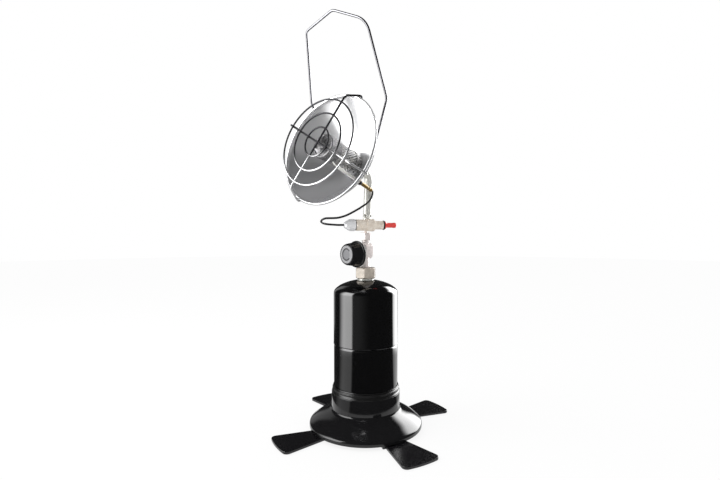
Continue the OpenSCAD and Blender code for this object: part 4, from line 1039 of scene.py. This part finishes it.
def makeIgniter(c):
    # a grooved barrel with a threaded neck, its nut and washer behind, and the button's ring,
    # bezel and stem in front
    wide, slim, bore, step = c["barrel"], c["slim"], c["bore"], c["shoulder"]
    barrel = [(0, -c["back"]), (7.9, -c["back"]), (wide, 0.6 - c["back"])]
    for z in (-16, -13.6):
        barrel += [(wide, z), (wide - c["groove"], z + 0.3), (wide - c["groove"], z + 0.7),
                   (wide, z + 1)]
    barrel += [(wide, step), (slim, step + 0.8), (slim, c["front"]), (bore, c["front"]),
               (bore, c["floor"]), (0, c["floor"])]
    rows = turnedRows(dense(softened(barrel, 0.3, steps=3), 0.25), 72)
    rows = threadRows(rows, step + 2.4, c["front"] - 1.2, 1.0, 0.22, slim - 0.1)
    end = -c["back"] - 1.06
    nutLine = [(0, end - c["nutLong"]), (3.5, end - c["nutLong"]), (5.9, end - 14),
               (8.5, end - 9.35), (9.1, end - 6.8), (9.1, end - 1), (7.9, end), (0, end)]
    washer = [(0, end + 0.03), (8.1, end + 0.03), (8.1, end + 1.03), (0, end + 1.03)]
    ring = [(4.05, 21.03), (7.1, 21.03), (7.1, 23.23), (4.05, 23.23)]
    bezel = [(4.05, 23.26), (6.2, 23.26), (6.1, 24.4), (5, c["bezelEnd"]), (4.05, c["bezelEnd"])]
    stem = [(0, c["buttonIn"]), (4.95, c["buttonIn"]), (4.95, 15), (3.8, 15.6), (3.7, 36.6),
            (4.05, 37.4), (4.05, 41.2), (3.3, c["buttonEnd"]), (1.6, 42.0), (0, 41.8)]
    nutPart = hexBar(softened(nutLine, 0.6, steps=3), c["nutFlats"])
    for name, part, body, finish, node, *sharp in [
            ("igniterBarrel", quads(rows), "head", "tan", "igniter_barrel", 50),
            ("igniterNut", nutPart, "head", "nut", "igniter_nut", 30),
            ("igniterWasher", turnedPart(washer, 0.2, 64, 2), "head", "burner", "igniter_washer"),
            ("igniterCollar", turnedPart(ring, 0.4, 64), "head", "knob", "igniter_collar"),
            ("buttonBezel", turnedPart(bezel, 0.35, 64), "head", "red", "button_bezel"),
            ("igniterButton", turnedPart(stem, 0.5, 56, 4), "button", "red", "igniter_button"),
            ("igniterSpring", coil(3.4, 0.45, 0.6, 7.2, 4), "head", "zinc", "igniter_spring")]:
        addPiece(name, [part], igniterFrame, body, finish, node, *sharp)


makeIgniter(spark)
finishedCopy("igniter_clamp", "head", "tan", 0.45)
finishedCopy("clamp_screw", "head", "zinc", 0.25)
finishedCopy("piezo_core", "head", "ceramic", 0.2)
print("igniter made")

# Hanger
hanger = dict(
    wire=1.6, pivot=68, lean=math.radians(23.2), skew=math.radians(6.3), ear=22.7, tip=14.7,
    points=[(-67.11, 95.4), (-51.2, 194.8), (0, 213.9), (51.2, 194.8), (67.11, 95.4)],
    cuts=[0, 3, 6, 5, 5, 15, 6, 3, 0],
)


def makeHanger(c):
    # (w, s) is turned by the skew and laid in a plane that leans forward from the pivot
    at = toPart((0, 0, -c["pivot"]), headFrame)
    w, s = np.array(c["points"], float).T
    x = w * math.cos(c["skew"]) + s * math.sin(c["skew"])
    rise = s * math.cos(c["skew"]) - w * math.sin(c["skew"])
    loop = at + np.stack([x, -rise * math.sin(c["lean"]), rise * math.cos(c["lean"])], 1)
    ends = [at + (k, 0, 0) for k in (-c["tip"], -c["ear"], c["ear"], c["tip"])]
    path = softened(np.concatenate([ends[:2], loop, ends[2:]]), c["cuts"], steps=10)
    wire = tube(path, c["wire"], 18, (0, math.cos(c["lean"]), math.sin(c["lean"])))
    addPiece("bail", [wire], upright, "hanger", "chrome", "bail_wire")


makeHanger(hanger)
print("hanger made")

# Floor, light and surroundings
studio = dict(
    floor=6.0, paint=0.86, shown=0.86, tent=1.6, lift=0.0006, ambient=1.0,
    keyPower=9.0, keySize=0.9, keyPlace=(-0.7, -0.9, 1.3), keyAim=(0, 0, 0.25),
    # a cloth's level, then in degrees its start, rise, end and fall, its top and that edge
    left=(4.2, -108, 30, -44, 7, 48, 6), right=(4.4, 106, 10, 156, 8, 44, 6),
    rightHigh=(3.0, 114, 4, 156, 8, 44, 6), back=(0.4, -160, 6, -138, 8, 44, 8),
)


def stageMesh(name, points, faces, finish, hiddenFrom=()):
    # a mesh in metres that belongs to the room
    mesh = bpy.data.meshes.new(name)
    mesh.from_pydata(points.tolist(), [], faces)
    mesh.materials.append(finish.material)
    shown = bpy.data.objects.new(name, mesh)
    bpy.context.scene.collection.objects.link(shown)
    for ray in hiddenFrom:
        setattr(shown, "visible_" + ray, False)


def makeFloor(c):
    # matt paint that shows as near white to the camera and as white in reflections
    f = Finish("floorPaint", (c["paint"],) * 3, 0.9, Specular_IOR_Level=0.0)
    paint = Signal(f, f.shader.outputs[0])
    f.surface(f.node("ShaderNodeMixShader", {}, {0: f.rays(c["shown"]), 1: paint, 2: f.glow(1.0)}))
    a = np.linspace(0, 2 * np.pi, 64, endpoint=False)
    stageMesh("floor", around(c["floor"], a, 0), [list(range(64))], f)


def makeTent(c):
    # what only reflections see: a dark tent with pale cloths at the sides and behind
    f = Finish("tentCloth")
    x, y, z = f.local(upright)
    bearing = math.radians(camera["heading"])
    sine, cosine = math.sin(bearing), math.cos(bearing)
    toCamera = f.vector("DOT_PRODUCT", f.place, (sine, -cosine, 0), "Value")
    toRight = f.vector("DOT_PRODUCT", f.place, (cosine, sine, 0), "Value")
    flat = (x * x + y * y) ** 0.5

    def angle(first, second):
        return f.math("ARCTAN2", first, second) * math.degrees(1)

    degrees, steep = angle(toRight, toCamera), angle(z, flat)

    def cloth(name):
        level, low, rise, high, fall, top, soft = c[name]
        side = f.ramp(degrees, low, low + rise) * (1 - f.ramp(degrees, high - fall, high))
        return level * (side * (1 - f.ramp(steep, top - soft, top + soft)))

    # the floor near the part stays dim, and the cloths are brightest above the horizon
    fade = 0.16 + 0.84 * f.ramp(flat, 420, 620) + 0.6 * f.ramp(steep, 3, 16)
    above = f.ramp(steep, 3, 10)
    front = (1 - f.ramp(steep, 6, 20)) * f.ramp(flat, 450, 900) * (1 - f.ramp(degrees, -34, 16))
    f.surface(f.glow(0.03 + 0.16 * front * f.ramp(degrees, -75, -45)
                     + fade * (cloth("left") + cloth("right")) + above * cloth("rightHigh")
                     + cloth("back") * f.ramp(flat, 700, 1000)))
    # a dome on a flat ring that starts just outside the feet
    q = np.radians(np.linspace(0, 89, 24))
    dome = np.stack([c["tent"] * np.cos(q), c["tent"] * np.sin(q) + c["lift"]], 1)
    ground = [(r, c["lift"]) for r in (0.16, 0.4, 0.9)]
    points, faces = quads(turnedRows(np.concatenate([ground, dome]), 180))
    stageMesh("tent", points, faces[:-2] + faces[-1:], f,
              ("camera", "diffuse", "transmission", "shadow"))


def makeLights(c):
    # a world that is white to every ray, and one large soft lamp
    world = bpy.data.worlds.new("studio")
    bpy.context.scene.world = world
    world.use_nodes = True
    sky = Graph(world.node_tree)
    back = sky.tree.nodes["Background"]
    strength = sky.node("ShaderNodeMapRange", {}, {"Value": sky.rays(), "To Min": c["ambient"],
                                                   "To Max": 1.0})
    sky.tree.links.new(strength.socket, back.inputs["Strength"])
    back.inputs["Color"].default_value = (1, 1, 1, 1)
    data = bpy.data.lights.new("key", "AREA")
    data.energy = c["keyPower"]
    data.size = c["keySize"]
    key = bpy.data.objects.new("key", data)
    key.location = c["keyPlace"]
    aim = Vector(c["keyAim"]) - Vector(key.location)
    key.rotation_mode = "QUATERNION"
    key.rotation_quaternion = aim.to_track_quat("-Z", "Y")
    key.visible_glossy = False
    bpy.context.scene.collection.objects.link(key)


makeFloor(studio)
makeTent(studio)
makeLights(studio)
bpy.context.scene.view_settings.view_transform = "Standard"
print("studio made")
